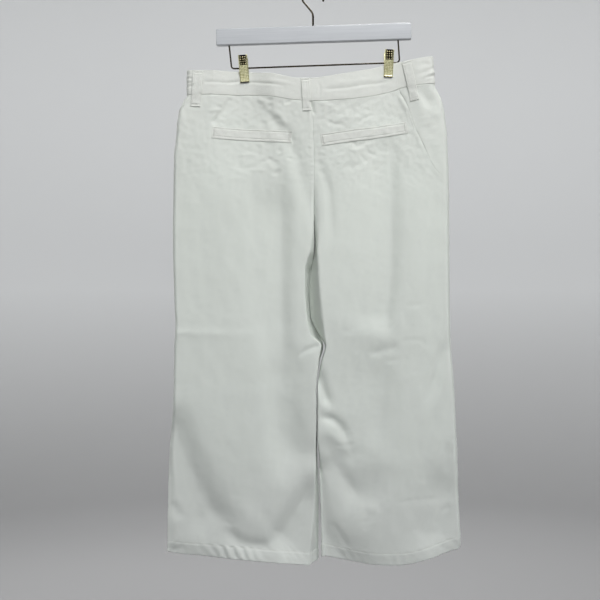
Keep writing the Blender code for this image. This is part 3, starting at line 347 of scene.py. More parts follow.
# ---- Hanger --------------------------------------------------------------------------------
BAR_SIZE = (355.0, 12.0, 30.0)
BAR_CENTRE = (1.0, -91.0)
BAR_TILT = math.radians(1.9)
BAR_ROUND = 2.2
HOOK_WIRE = 3.6
HOOK_RADIUS = 21.0  # to the middle of the wire
HOOK_TIP_ANGLE = math.radians(-32)
SHANK_BEND_DROP = 52.0
SHANK_BEND = 7.0  # how far the bend's rounding reaches
CLIP_WIRE = 3.0
CLIP_WIRE_LINE = rows_of(Edge, (-152.6, 111.7), (-148.2, 153.0), (157.6, 141.6), (154.8, 101.0))
CLIP_WIRE_BEND = 6.0
Clip = namedtuple("Clip", "name across wire_drop lean")
CLIPS = rows_of(Clip, ("clip_left", -126.0, 152.2, math.radians(4.7)),
         ("clip_right", 137.6, 142.3, math.radians(-2.2)))
CLIP_WIDTH = 16.8
CLIP_PLATE = 1.2
# Side view of one jaw's plate, from its lip up to its thumb end, about the wire.
Bend = namedtuple("Bend", "up out")
JAW_PROFILE = rows_of(Bend,
    (-26.0, 4.6), (-24.2, 3.8), (-19, 4.0), (-10, 5.5), (0, 7.5), (8, 9.0), (15, 10.5), (21.4, 12.4))
JAW_LINE = [(bend.up, bend.out) for bend in JAW_PROFILE]
LIP_WIRE = 2.2
EAR_THICK = 1.1
EAR_ACROSS = {"back": 6.6, "front": 4.9}
EAR_SHAPE = rows_of(Bend,
    (4.2, 8.0), (3.1, 1.0), (2.2, -2.2), (0, -3.1), (-2.2, -2.2), (-3.1, 1.0), (-3.6, 7.4))
SPRING_RADIUS = 3.2
SPRING_LENGTH = 7.4
SPRING_WIRE = 1.1
SPRING_TURNS = 6
THUMB_START = 3.2  # above the wire
HIGHLIGHT_SIDE = 6.3  # from the middle of a jaw to where the painted highlight on its sides starts
# how soft the edge of that painted highlight is
HIGHLIGHT_BLUR = 0.6
JAW_CURL = 1.6  # how far the curled sides of a jaw reach
BUMP_ROWS = 4
BUMP_START = 6.0  # above the wire
BUMP_PITCH = 3.9
BUMP_RADIUS = 1.15
KNURL_PITCH = 2.7
PIT_COLOUR = (0.24, 0.22, 0.09)
DARK_COLOUR = (0.008, 0.006, 0.004)
STITCH_PITCH = 3.3
STITCH_LENGTH = 2.7
STITCH_SUNK = 0.02
STITCH_WANDER = 0.12  # how far a stitch lies beside its line
THREAD = 0.55
THREAD_RISE = 0.36  # half its height, as a share of its width
THREAD_SIDES = 6
TACK_PITCH = 0.7
TACK_REACH = 1.5
TACK_PLACE = 3.2  # from the end of a loop
TACK_INSET = 1.6  # from a loop's side
LOOP_STITCH = 2.2
WELT_STITCH = 1.8
WELT_OPENING = 2.6  # from the welt's top edge to the pocket's opening
WELT_FOOT = 4.2  # from its bottom edge to the fold of its foot
WELT_GROOVE = 0.3  # how far its stitches draw it in
FLY_STITCHES = (3.0, 9.0)
BUTTON_PROFILE = (
    (8.3, 0.2), (8.5, 1.4), (8.3, 2.6), (7.6, 3.3), (6.6, 3.1), (5.6, 2.4), (3.5, 2.2), (1.2, 2.3))

PINCH_FLAT = 12.0  # half width that a clip holds flat
PINCH_REACH = 46.0  # how far beside it the bands open again
PINCH_WIDENS = 0.3  # how much further for each millimetre under the waistband
PINCH_ZONE = (185, 420)  # drops between which the pinch lets go
BAND_FOOT = 200  # drop of the waistband's lower edge
PINCH_DEPTH = 2.1  # half depth of the panels' surface under a clip
PINCH_FLATTENS = 0.8  # share of a trough's depth that a clip takes away
RIDGE_FLATTENS = 0.25  # and of a ridge's height
BOW_DEPTH = 5.0  # how far the bands bow out between the clips
BOW_ZONE = (200, 300)
FOLDS_FADE = (0.05, 0.98)  # shares of the half depth over which a fold comes up from the sides

# ---- Sewn on pieces ------------------------------------------------------------------------
Strip = namedtuple("Strip", "name start end width")
BACK_LOOPS = rows_of(Strip,
    ("belt_loop_back_left", (-208.5, 158.8), (-212, 225), 18.5),
    ("belt_loop_centre", (-14.5, 173.3), (-11, 233), 16),
    ("belt_loop_back_right", (168.5, 140.5), (184, 213), 16))
FRONT_LOOPS = rows_of(Strip,
    ("belt_loop_front_left", (-86, 170.5), (-86, 236), 16),
    ("belt_loop_front_right", (93, 166), (93, 231), 16))
LOOP_LIFT = 0.9
LOOP_INSET = 0.4  # from the waistband's top edge
WELT_HEIGHT = 21.0
WELTS = rows_of(
    Strip, ("welt_left", (-182, 260.5), (-38, 269.5), WELT_HEIGHT),
    ("welt_right", (13, 275.5), (169, 251), WELT_HEIGHT))
FLY_LENGTH = 165.0
FLY_WIDTH = 36.0
FLY_ROUND = 46.0  # height of its round end
FLY_OVERLAP = 4.0
CLOSURE_OVERLAP = 9.0
CLOSURE_UNDERLAP = 34.0
TUCK_START = 21.0  # where the right front band starts to pass under the left one
TUCK_END = 10.5
BUTTON_PLACE = (-6.0, 22.0)  # across, and down from the waistband's top edge

Leg = namedtuple("Leg", "side outer inner side_seam hem_back hem_front folds")
LEFT = Leg(
    -1, LEFT_OUTER, LEFT_INNER, LEFT_SIDE_SEAM, LEFT_HEM_BACK, LEFT_HEM_FRONT, LEFT_LEG_FOLDS)
RIGHT = Leg(
    1, RIGHT_OUTER, RIGHT_INNER, RIGHT_SIDE_SEAM, RIGHT_HEM_BACK, RIGHT_HEM_FRONT, RIGHT_LEG_FOLDS)
SIDES = ((LEFT, "left"), (RIGHT, "right"))

# ---- Studio --------------------------------------------------------------------------------
TWILL_ANGLE = math.radians(62)
TWILL_PITCH = 0.9
TINT_WANDER = 0.3  # how far, in metres of cloth, the tint wanders
TWILL_TINTS = (  # by the share of the way down the garment
    (0.05, (0.750, 0.768, 0.724)), (0.36, (0.738, 0.777, 0.726)), (0.75, (0.756, 0.796, 0.754)),
    (0.95, (0.752, 0.784, 0.752)))
WAVE_CYCLES = 3.1831  # a wave texture's bands a unit at scale 1
STAGE_FLAT = 3.6
STAGE_CURVE = 1.6
STAGE_FLOOR = -1.75
STAGE_TOP = 3.2
# The backdrop is painted darker low down than up the wall: painted shade that falls off towards the
# floor.
FLOOR_PAINTED_SHADE, FLOOR_HIGH = (0.33, 0.33, 0.333), (0.62, 0.63, 0.635)
FLOOR_TURN = (-1.75, -0.5)  # heights over which the floor's painted shade gives way to the paler wall
SKY_COLOUR, SKY_STRENGTH = (1.0, 1.0, 1.0), 0.06
# Name, place, what it faces, size, power.
LAMPS = (
    ("key", (0.8, -1.9, 1.95), (0, 0, -0.2), (1.2, 1.0), 76.5),
    ("fill", (-0.2, -2.1, -0.1), (0, 0, -0.5), (1.6, 1.2), 4.5),
    ("front_key", (0.8, 1.7, 1.7), (0, 0, -0.4), (1.3, 1.0), 44.0),
    ("front_fill", (-0.7, 2.6, 0.0), (0, 0, -0.5), (1.8, 1.4), 7.0),
    ("side_fill", (-2.3, 1.5, 0.6), (0, 0, -0.4), (1.2, 1.2), 24.0),
    ("back_wall", (0, 1.6, 1.5), (0, 5.2, 0.3), (3.4, 0.8), 90.0),
    ("front_wall", (0, -1.6, 1.9), (0, -5.2, 0.5), (3.4, 0.8), 32.0),
    ("left_wall", (-1.6, 0, 1.9), (-5.2, 0, 0.5), (3.4, 0.8), 32.0),
    ("right_wall", (1.6, 0, 1.9), (5.2, 0, 0.5), (3.4, 0.8), 32.0))
CAMERA_PLACE = (-0.0237, -1.6, -0.574)
CAMERA_LENS = 52.72


# ---- Table reading -------------------------------------------------------------------------
def read(table, key, column, at):
    """Read a column at any key, on a smooth curve that never overshoots the rows."""
    keys = np.array([getattr(row, key) for row in table], float)
    values = np.array([getattr(row, column) for row in table], float)
    at = np.clip(at, keys[0], keys[-1])
    step = np.diff(keys)
    slope = np.diff(values) / step
    before, after = slope[:-1], slope[1:]
    same_way = before * after > 0
    mean = 2 * before * after / np.where(same_way, before + after, 1)
    tangent = np.concatenate(([slope[0]], np.where(same_way, mean, 0), [slope[-1]]))
    row = np.clip(np.searchsorted(keys, at, side="right") - 1, 0, len(step) - 1)
    t = (at - keys[row]) / step[row]
    start = (2 * t**3 - 3 * t**2 + 1) * values[row] + (t**3 - 2 * t**2 + t) * step[row] * tangent[row]
    end = (3 * t**2 - 2 * t**3) * values[row + 1] + (t**3 - t**2) * step[row] * tangent[row + 1]
    return start + end


def drop_of(edge, across):
    """How low an edge that runs across hangs at a place."""
    return read(edge, "across", "drop", across)


def ease(value, low, high):
    """0 at low and 1 at high, with a soft start and end."""
    t = np.clip((value - low) / (high - low), 0, 1)
    return t * t * (3 - 2 * t)


def between(value, zone):
    """0 outside a zone and 1 inside it: it says where the value starts, is full, fades and ends."""
    return ease(value, *zone[:2]) * (1 - ease(value, *zone[2:]))


def bell(value, width):
    """1 at 0, and soft on both sides."""
    return np.exp(-(value / width) ** 2)


class Noise:
    """Smooth gradient noise over a plane, the same each time for one seed."""

    def __init__(self, seed, size=64):
        self.size = size
        angle = np.random.default_rng(seed).uniform(0, 2 * math.pi, (size, size))
        self.slope = np.stack((np.cos(angle), np.sin(angle)), axis=-1)

    def __call__(self, x, y):
        column, row = np.floor(x).astype(int), np.floor(y).astype(int)
        u, v = x - column, y - row
        total = 0
        for right in (0, 1):
            for down in (0, 1):
                slope = self.slope[(row + down) % self.size, (column + right) % self.size]
                push = slope[..., 0] * (u - right) + slope[..., 1] * (v - down)
                weigh_u = ease(u, 0, 1) if right else 1 - ease(u, 0, 1)
                weigh_v = ease(v, 0, 1) if down else 1 - ease(v, 0, 1)
                total = total + push * weigh_u * weigh_v
        return total


BROAD_NOISE = Noise(3)
FINE_NOISE = Noise(11)
RIPPLE_NOISE = Noise(23)


# ---- The garment's surface -----------------------------------------------------------------
def pinch(across, drop):
    """1 where a clip holds the two bands together, 0 away from it."""
    total = 0
    for clip in CLIPS:
        reach = PINCH_REACH + PINCH_WIDENS * np.maximum(drop - BAND_FOOT, 0)
        beside = 1 - ease(np.abs(across - clip.across), PINCH_FLAT, PINCH_FLAT + reach)
        total = total + beside * (1 - ease(drop, *PINCH_ZONE))
    return np.clip(total, 0, 1)


def bow(across, drop):
    """The bands' slack between the clips."""
    left, right = (clip.across for clip in CLIPS)
    along = np.clip((across - left) / (right - left), 0, 1)
    return BOW_DEPTH * np.sin(math.pi * along) ** 2 * (1 - ease(drop, *BOW_ZONE))


def swing(across, drop):
    """How far the feet of the legs hang away to the front."""
    return sum(foot.out * bell(across - foot.across, foot.reach) * ease(drop, foot.start, foot.end)
               for foot in SWINGS)


def smooth_line(points, steps=6):
    """A fold's line, rounded through its points."""
    points = np.array(points, float)
    padded = np.vstack((2 * points[0] - points[1], points, 2 * points[-1] - points[-2]))
    line = []
    for a, b, c, d in zip(padded, padded[1:], padded[2:], padded[3:]):
        for t in np.arange(steps) / steps:
            line.append(0.5 * (2 * b + (c - a) * t + (2 * a - 5 * b + 4 * c - d) * t**2
                               + (3 * b - a - 3 * c + d) * t**3))
    return np.array(line + [points[-1]])


def fold_height(fold, across, drop):
    """Height of one fold at points of a face: full along its line, less beside it and at its ends."""
    line = smooth_line(fold.line)
    start = line[:-1]
    run = line[1:] - start
    length = np.hypot(run[:, 0], run[:, 1])
    travelled = np.concatenate(([0], np.cumsum(length)))[:-1]
    offset_x = across[:, None] - start[:, 0]
    offset_z = drop[:, None] - start[:, 1]
    t = np.clip((offset_x * run[:, 0] + offset_z * run[:, 1]) / length**2, 0, 1)
    away = np.hypot(offset_x - t * run[:, 0], offset_z - t * run[:, 1])
    nearest = away.argmin(axis=1)
    point = np.arange(len(across))
    distance = away[point, nearest]
    ahead, down = run[nearest, 0], run[nearest, 1]
    left_or_below = ahead * offset_z[point, nearest] > down * offset_x[point, nearest]
    width = np.where(left_or_below, fold.lower, fold.upper)
    along = (travelled + t * length)[point, nearest]
    total = length.sum()
    ends = ease(along, 0, fold.start * total) * (1 - ease(along, (1 - fold.end) * total, total))
    return fold.height * np.exp(-(distance / width) ** fold.shape) * ends


def face_offset(folds, across, drop):
    """The height of all the folds of a face together."""
    shape = across.shape
    across, drop = across.ravel(), drop.ravel()
    total = np.zeros(len(across))
    for fold in folds:
        line = np.array(fold.line, float)
        reach = 3.0 * max(fold.lower, fold.upper)
        low, high = line.min(axis=0) - reach, line.max(axis=0) + reach
        near = (across > low[0]) & (across < high[0]) & (drop > low[1]) & (drop < high[1])
        if near.any():
            total[near] += fold_height(fold, across[near], drop[near])
    return total.reshape(shape)


def corner_curve(before, corner, after, steps=INNER_STEPS):
    """A rounded corner: a curve from one point to another that turns at the corner."""
    t = np.linspace(0, 1, steps)[:, None]
    return (1 - t) ** 2 * before + 2 * t * (1 - t) * corner + t**2 * after


def toward(start, end, reach, share=0.5):
    """The point that lies reach from start towards end, at most share of the way."""
    run = end - start
    length = np.hypot(*run)
    return start + run * min(reach / length, share)


def section(leg, outer_drop, inner_drop):
    """One level of a leg, flattened: points from the centre back round the outer fold to the
    centre front, with the half depths that it was drawn with."""
    outer = float(read(leg.outer, "drop", "across", outer_drop))
    level = Inner(*(float(read(leg.inner, "drop", name, inner_drop)) for name in Inner._fields))
    drop = (outer_drop + inner_drop) / 2
    back, front = (float(read(DEPTHS, "drop", face, drop)) for face in ("back", "front"))
    beside = leg.side * GAP / 2
    back_y = level.seam_y - GAP / 2 - level.back_share * (back + level.seam_y)
    front_y = level.seam_y + GAP / 2 + level.front_share * (front - level.seam_y)
    back_end = np.array((level.back_seam + beside, back_y))
    front_end = np.array((level.front_seam + beside, front_y))
    back_inner, back_outer, fold, front_outer, front_inner = np.array((
        (level.back_corner, -back), (outer, -back), (outer, 0.0), (outer, front),
        (level.front_corner, front)))
    reach = float(read(INNER_ROUND[leg.side], "drop", "reach", drop))
    beside_fold = OUTER_ROUND[leg.side] * (1 + (FOOT_ROUND[leg.side] - 1) * ease(drop, *FOOT))
    points = np.vstack((
        back_end,
        corner_curve(toward(back_inner, back_end, reach, LONGEST_CORNER), back_inner,
                     toward(back_inner, back_outer, reach)),
        corner_curve(toward(back_outer, back_inner, beside_fold), back_outer, fold, OUTER_STEPS),
        corner_curve(fold, front_outer, toward(front_outer, front_inner, beside_fold), OUTER_STEPS),
        corner_curve(toward(front_inner, front_outer, reach), front_inner,
                     toward(front_inner, front_end, reach, LONGEST_CORNER)),
        front_end))
    fold_at = INNER_STEPS + OUTER_STEPS  # the first point on the outer fold
    return points, fold_at, back, front


def along_line(points):
    """How far each point lies along its line."""
    return np.concatenate(([0], np.cumsum(np.hypot(*np.diff(points, axis=0).T))))


def at_lengths(points, wanted):
    """The points at some lengths along a line."""
    lengths = along_line(points)
    return np.column_stack([np.interp(wanted, lengths, points[:, axis]) for axis in (0, 1)])


def spaced(points, first, last, count):
    """Lengths from first to last, closer together where the section bends."""
    dense = np.linspace(first, last, 480)
    line = at_lengths(points, dense)
    heading = np.unwrap(np.arctan2(*np.diff(line, axis=0).T))
    turn = np.concatenate(([0], np.cumsum(np.abs(np.diff(heading))), [0]))
    turn[-1] = turn[-2]
    weight = dense - first + TURN_WEIGHT * turn
    return np.interp(np.linspace(0, weight[-1], count + 1), weight, dense)


def with_edges(middle, first, last):
    """Add close steps at both ends of some lengths, for the rounding of a cloth edge."""
    steps = np.array(EDGE_STEPS)
    return np.concatenate((first + steps, middle, last - steps[::-1]))


def steps_over(width, start, step):
    """Lengths over a piece's width, closer together at its edges."""
    return with_edges(np.arange(start, width - 3, step), 0, width)


def edge_round(to_edge, radius):
    """How far a face draws in beside an edge of the cloth, so that the edge is round."""
    near = np.clip(to_edge, 0, radius)
    return radius - np.sqrt(radius**2 - (radius - near) ** 2)


def shaped(flat, back, front, drop, folds_back, folds_front, free=1.0):
    """Move a flattened section's points to where the cloth hangs."""
    across, flat_y = flat[..., 0], flat[..., 1]
    half = np.where(flat_y < 0, back, front)
    share = np.abs(flat_y) / half
    depth = half + bow(across, drop)
    depth = depth + (PINCH_DEPTH - depth) * pinch(across, drop)
    offset = np.zeros(across.shape)
    for folds, face in ((folds_back, flat_y < 0), (folds_front, flat_y >= 0)):
        offset[face] = face_offset(folds, across[face], drop[face])
    held = np.where(offset < 0, PINCH_FLATTENS, RIDGE_FLATTENS)
    offset = offset * (1 - held * pinch(across, drop)) * free
    depth = depth * share + ease(share, *FOLDS_FADE) * offset
    return np.stack((across, np.sign(flat_y) * depth + swing(across, drop)), axis=-1)


def inward(rows, side):
    """Unit vectors to the inside of the garment from rows of points that run from the centre
    back to the outer fold on one side (-1 left, 1 right), and on to the centre front."""
    run = np.gradient(rows, axis=-2)
    run = run / np.hypot(run[..., 0], run[..., 1])[..., None]
    return side * np.stack((-run[..., 1], run[..., 0]), axis=-1)


def both_faces(rows, drop, side, outer_in, inner_in):
    """Outer and inner grid of a wall of cloth, from how far each lies inside some rows."""
    way = inward(rows, side)
    return [np.concatenate((rows + way * depth[..., None], -drop[..., None]), axis=-1)
            for depth in (outer_in, inner_in)]


def edge_drop(back_edge, front_edge, across, share_front):
    """How low an edge hangs all round, at a share of the way from the back to the front."""
    back, front = drop_of(back_edge, across), drop_of(front_edge, across)
    return back + (front - back) * share_front


def linked(name, data):
    """A new object in the scene."""
    made = bpy.data.objects.new(name, data)
    bpy.context.scene.collection.objects.link(made)
    return made


def shown(name, data, finish, slot, *nodes):
    """A visible piece, with the nodes that it stands for."""
    data.materials.append(finish)
    made = linked(name, data)
    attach(made, "root")
    if nodes:
        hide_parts(*nodes)
    return made


def wall_mesh(name, outside, inside, flat=None):
    """A closed wall between two grids of points, in millimetres, with a map in metres of cloth."""
    count = outside[..., 0].size
    index = np.arange(count).reshape(outside.shape[:2])
    outer = np.stack((index[:-1, :-1], index[:-1, 1:], index[1:, 1:], index[1:, :-1]), -1)
    outer = outer.reshape(-1, 4)
    rim = np.concatenate((index[0, :-1], index[:-1, -1], index[-1, :0:-1], index[:0:-1, 0]))
    after = np.roll(rim, -1)
    edge = np.stack((rim, rim + count, after + count, after), -1)
    faces = np.concatenate((outer, outer[:, ::-1] + count, edge))
    points = np.concatenate((outside.reshape(-1, 3), inside.reshape(-1, 3))) * MM
    a, b, c, d = (points[faces[:, corner]] for corner in range(4))
    volume = (a * np.cross(b, c)).sum() + (a * np.cross(c, d)).sum()
    if volume < 0:
        faces = faces[:, ::-1]
    mesh = bpy.data.meshes.new(name)
    mesh.vertices.add(len(points))
    mesh.vertices.foreach_set("co", points.ravel())
    mesh.loops.add(faces.size)
    mesh.loops.foreach_set("vertex_index", np.ascontiguousarray(faces).ravel())
    mesh.polygons.add(len(faces))
    mesh.polygons.foreach_set("loop_start", np.arange(0, faces.size, 4))
    mesh.polygons.foreach_set("loop_total", np.full(len(faces), 4))
    mesh.update()
    mesh.validate()
    if flat is not None:
        places = np.concatenate((flat.reshape(-1, 2), flat.reshape(-1, 2))) * MM
        mesh.uv_layers.new(name="cloth").data.foreach_set("uv", places[faces.ravel()].ravel())
    mesh.shade_smooth()
    return mesh


# ---- Leg panels ----------------------------------------------------------------------------
def panel_levels(tallest, rows):
    """Shares of a panel's height, from the waist seam to the hem, closer together at both ends."""
    top = np.array(EDGE_STEPS)
    hem = np.arange(HEM_ZONE, EDGE_STEPS[-1], -HEM_STEP)
    hips = np.arange(top[-1] + HIP_STEP, HIP_ZONE, HIP_STEP)
    body = np.concatenate((hips, np.linspace(HIP_ZONE, tallest - HEM_ZONE, rows - len(hips))[:-1]))
    return np.concatenate((top, body, tallest - hem, tallest - top[::-1])) / tallest


def at_hips(drop):
    """1 over the hips, where the cloth is most uneven, and 0 down the legs."""
    return 1 - ease(drop, *UNEVEN)


def panel_relief(leg, part, across, drop, above_hem, centre, side):
    """How far the finish of a panel stands out from its plain cloth, by the distances from the
    hem, the centre seam and the side seam."""
    in_hem = 1 - ease(above_hem, HEM_HEIGHT - 1.5, HEM_HEIGHT + 0.5)
    relief = in_hem * HEM_PROUD - HEM_GROOVE * bell(above_hem - HEM_STITCH, 1.1)
    roping = np.sin(2 * math.pi * (across + 0.6 * above_hem) / ROPING_PITCH
                    + 3 * RIPPLE_NOISE(across / 40, drop / 40))
    strength = RIPPLE + RIPPLE_WORST * bell(across - RIPPLED, RIPPLED_REACH)
    strength = strength + 0.8 * np.clip(RIPPLE_NOISE(across / 44 + 5, drop * 0 + leg.side), 0, 1)
    relief = relief + strength * roping * in_hem * (1 - bell(above_hem, 3))
    if part == "back":
        felled = (leg.side < 0) * between(centre, SEAM_RISE)
        puckers = np.sin(2 * math.pi * drop / PUCKER_PITCH)
        puckers = puckers * ease(drop, *PUCKERED[:2]) * (1 - ease(drop, *PUCKERED[2:]))
        relief = relief + SEAM_PROUD * felled + PUCKER_HEIGHT * puckers * felled
        turned = TURNED_HEIGHT * between(side, TURNED)
    else:
        turned = 0.5 * bell(side - 3, 2.4) * (1 - ease(drop, 300, 380))
    return relief + turned + (0.3 + 0.45 * at_hips(drop)) * FINE_NOISE(across / 8, drop / 9)


def panel_sway(across, drop, above_hem):
    """How far the whole cloth of a panel swings out: the hem's lean and soft unevenness."""
    lean = read(HEM_LEAN, "across", "out", across) * np.clip(1 - above_hem / HEM_HEIGHT, 0, 1)
    hips = at_hips(drop)
    broad = (0.8 + 0.4 * hips) * BROAD_NOISE(across / 46, drop / 110)
    return lean + broad + (0.9 + 0.4 * hips) * BROAD_NOISE(across / 19 + 9, drop / 33)


def panel_grids(leg, part):
    """Outer and inner grid of one leg panel, and its map, in millimetres."""
    (outer_top, outer_hem), (inner_top, inner_hem) = (
        (drop_of(BAND_BOTTOM_BACK, across) + WAIST_GAP, drop_of(leg.hem_back, across))
        for across in (leg.side * WIDEST, 0))
    levels = panel_levels(outer_hem - outer_top, PANEL_ROWS[part])
    flat, lengths, depths = [], [], []
    for v in levels:
        outer_drop = outer_top + v * (outer_hem - outer_top)
        inner_drop = inner_top + v * (inner_hem - inner_top)
        points, fold_at, back, front = section(leg, outer_drop, inner_drop)
        line = along_line(points)
        seam = line[fold_at] - read(leg.side_seam, "drop", "back_of_fold", outer_drop)
        first, last = (0, seam - GAP / 2) if part == "back" else (seam + GAP / 2, line[-1])
        reach = EDGE_STEPS[-1]
        middle = spaced(points, first + reach, last - reach, PANEL_COLUMNS[part])[1:-1]
        wanted = with_edges(middle, first, last)
        flat.append(at_lengths(points, wanted))
        lengths.append(wanted)
        depths.append((back, front))
    flat, lengths = np.array(flat), np.array(lengths)
    back, front = np.array(depths).T[:, :, None]
    in_front = ease(flat[..., 1], -back, front)
    across = flat[..., 0]
    top = edge_drop(BAND_BOTTOM_BACK, BAND_BOTTOM_FRONT, across, in_front) + WAIST_GAP
    hem = edge_drop(leg.hem_back, leg.hem_front, across, in_front)
    drop = top + levels[:, None] * (hem - top)
    free = 0.3 + 0.7 * ease(drop - top, 0, 8)
    rows = shaped(flat, back, front, drop, leg.folds, FRONT_FOLDS, free)
    from_first, from_last = lengths - lengths[:, :1], lengths[:, -1:] - lengths
    from_centre, from_side = (from_first, from_last) if part == "back" else (from_last, from_first)
    above_hem, below_top = hem - drop, drop - top
    wall = CLOTH + (HEM_CLOTH - CLOTH) * (1 - ease(above_hem, 0.9 * HEM_HEIGHT, 1.1 * HEM_HEIGHT))
    to_rim = np.minimum(above_hem, below_top)
    to_seam = np.minimum(from_first, from_last)
    seam_round = SEAM_ROUND + (0.4 - SEAM_ROUND) * ease(drop, 350, 470)
    drawn_in = np.maximum(edge_round(to_rim, 0.4 * wall),
                          edge_round(np.minimum(to_seam, to_rim), seam_round * wall))
    out = panel_relief(leg, part, across, drop, above_hem, from_centre, from_side) * ease(to_rim, 0, 2)
    sway = panel_sway(across, drop, above_hem) * ease(below_top, 0, 4) * ease(to_seam, 0, 4)
    outside, inside = both_faces(rows, drop, leg.side, drawn_in - out - sway, wall - drawn_in - sway)
    return outside, inside, np.stack((lengths, drop), axis=-1)


# A piece of cloth with the grid of its outer face, that face's normals and its map.
Cloth = namedtuple("Cloth", "made grid normals flat")
MADE = {}


def grid_normals(grid, way):
    """Unit normals of a grid's face, on the side that way points to."""
    across, down = np.gradient(grid, axis=1), np.gradient(grid, axis=0)
    normals = np.cross(across, down)
    normals /= np.maximum(np.linalg.norm(normals, axis=-1), 1e-9)[..., None]
    return normals * np.sign((normals * way).sum(axis=-1))[..., None]


def sew(name, outside, inside, flat, tint_drop=0.0):
    """Make one piece of cloth and hide the imported part that it stands for. tint_drop is where its
    tint starts.
    """
    mesh = wall_mesh(f"{name}_cloth", outside, inside, flat + (0, tint_drop))
    made = shown(f"{name}_cloth", mesh, TWILL, "twill", name)
    MADE[name] = Cloth(made, outside, grid_normals(outside, outside - inside), flat)


# ---- Waistband -----------------------------------------------------------------------------
def band_section(leg, w):
    """One level of the waistband's half on one side, at share w of its height."""
    drops = []
    for across in (leg.side * WIDEST, 0):
        top, bottom = drop_of(BAND_TOP_BACK, across), drop_of(BAND_BOTTOM_BACK, across)
        drops.append(top + w * (bottom - top))
    return section(leg, *drops)


def band_row(points, back, front, w, wanted):
    """Points of the band's middle at some lengths along a section, and their drops."""
    flat = at_lengths(points, wanted)
    in_front = ease(flat[:, 1], -back, front)
    top = edge_drop(BAND_TOP_BACK, BAND_TOP_FRONT, flat[:, 0], in_front)
    bottom = edge_drop(BAND_BOTTOM_BACK, BAND_BOTTOM_FRONT, flat[:, 0], in_front)
    drop = top + w * (bottom - top)
    return shaped(flat, back, front, drop, (), ()), drop


def length_at(points, across, fold_at):
    """Length along a section to where its front face is at a given place across."""
    lengths = along_line(points)[fold_at:]
    order = np.argsort(points[fold_at:, 0], kind="stable")
    return float(np.interp(across, points[fold_at:][order, 0], lengths[order]))


def band_seam(leg, points, fold_at):
    """Length along a section to the band's side seam, straight above the panels' own."""
    return along_line(points)[fold_at] - read(leg.side_seam, "drop", "back_of_fold", BAND_SEAM_DROP)


def band_back_half(leg, w):
    """One side of the back band at one level, from the centre back to its side seam."""
    points, fold_at, back, front = band_section(leg, w)
    seam = band_seam(leg, points, fold_at) - GAP / 2
    middle = spaced(points, 0, seam - EDGE_STEPS[-1], BAND_COLUMNS)[:-1]
    wanted = np.concatenate((middle, seam - np.array(EDGE_STEPS)[::-1]))
    return band_row(points, back, front, w, wanted)


def band_front_half(leg, w):
    """One front band at one level, from its side seam to its end at the closure."""
    points, fold_at, back, front = band_section(leg, w)
    seam = band_seam(leg, points, fold_at) + GAP / 2
    meeting = 0.0 if leg.side < 0 else TUCK_START
    last = length_at(points, meeting, fold_at)
    middle = spaced(points, seam + EDGE_STEPS[-1], last, BAND_COLUMNS)[1:]
    wanted = np.concatenate((seam + np.array(EDGE_STEPS), middle))
    row, drop = band_row(points, back, front, w, wanted)
    end = CLOSURE_OVERLAP if leg.side < 0 else -CLOSURE_UNDERLAP
    across = np.arange(meeting, end, -1.2 * leg.side)[1:-2]
    across = np.concatenate((across, end + leg.side * np.array(EDGE_STEPS)[::-1]))
    level = drop_of(BAND_TOP_FRONT, across) * (1 - w)
    level = level + drop_of(BAND_BOTTOM_FRONT, across) * w
    flat = np.column_stack((across, np.full(len(across), front)))
    row = np.vstack((row, shaped(flat, back, front, level, (), ())))
    if leg.side > 0:
        tucked = (BAND_CLOTH + 2 * GAP) * ease(-row[:, 0], -TUCK_START, -TUCK_END)
        row[:, 1] -= tucked * (row[:, 1] > 0)
    return row, np.concatenate((drop, level))


def band_relief(across, drop, height, y, from_top, from_bottom):
    """How far the finish of the band stands out from its plain cloth."""
    relief = 0.35 * np.sin(math.pi * from_top / height)
    for to_edge in (from_top, from_bottom):
        relief = relief - 0.3 * bell(to_edge - BAND_STITCH, 0.9)
    relief = relief + np.where(y < 0, 1.5 * face_offset(BAND_FOLDS, across, drop), 0)
    relief = relief + 0.45 * BROAD_NOISE(across / 30 + 3, drop / 13)
    return relief + 0.3 * FINE_NOISE(across / 9, drop / 7)


def make_band(name, rows, drops, side):
    """A piece of the waistband from the rows of its levels."""
    rows, drop = np.array(rows), np.array(drops)
    run = np.hypot(*np.moveaxis(np.diff(rows, axis=1), -1, 0))
    lengths = np.concatenate((np.zeros((len(rows), 1)), np.cumsum(run, axis=1)), axis=1)
    height = drop[-1] - drop[0]
    from_top, from_bottom = drop - drop[0], drop[-1] - drop
    to_end = lengths[:, -1:] - lengths
    to_seam, to_rim = lengths, np.minimum(from_top, from_bottom)
    if name == "waistband_back":
        to_seam = np.minimum(to_seam, to_end)
    else:
        to_rim = np.minimum(to_rim, to_end)
    drawn_in = np.maximum(edge_round(to_rim, 0.45 * BAND_CLOTH),
                          edge_round(to_seam, SEAM_ROUND * BAND_CLOTH))
    relief = band_relief(rows[..., 0], drop, height, rows[..., 1], from_top, from_bottom)
    out = BAND_PROUD + relief * ease(to_rim, 0, 2)
    outside, inside = both_faces(rows, drop, side, drawn_in - out, BAND_CLOTH - BAND_PROUD - drawn_in)
    sew(name, outside, inside, np.stack((lengths, from_top), axis=-1))


def make_waistband():
    steps = np.array(EDGE_STEPS) / BAND_HEIGHT
    body = np.linspace(steps[-1], 1 - steps[-1], BAND_ROWS)
    levels = np.concatenate((steps[:-1], body, 1 - steps[-2::-1]))
    rows, drops = [], []
    for w in levels:
        left_row, left_drop = band_back_half(LEFT, w)
        right_row, right_drop = band_back_half(RIGHT, w)
        rows.append(np.vstack((left_row[::-1], right_row[1:])))
        drops.append(np.concatenate((left_drop[::-1], right_drop[1:])))
    make_band("waistband_back", rows, drops, RIGHT.side)
    for leg, side in SIDES:
        rows, drops = zip(*(band_front_half(leg, w) for w in levels))
        make_band(f"waistband_front_{side}", rows, drops, leg.side)


def make_panels():
    for leg, side in SIDES:
        for part in ("back", "front"):
            sew(f"{part}_{side}", *panel_grids(leg, part))


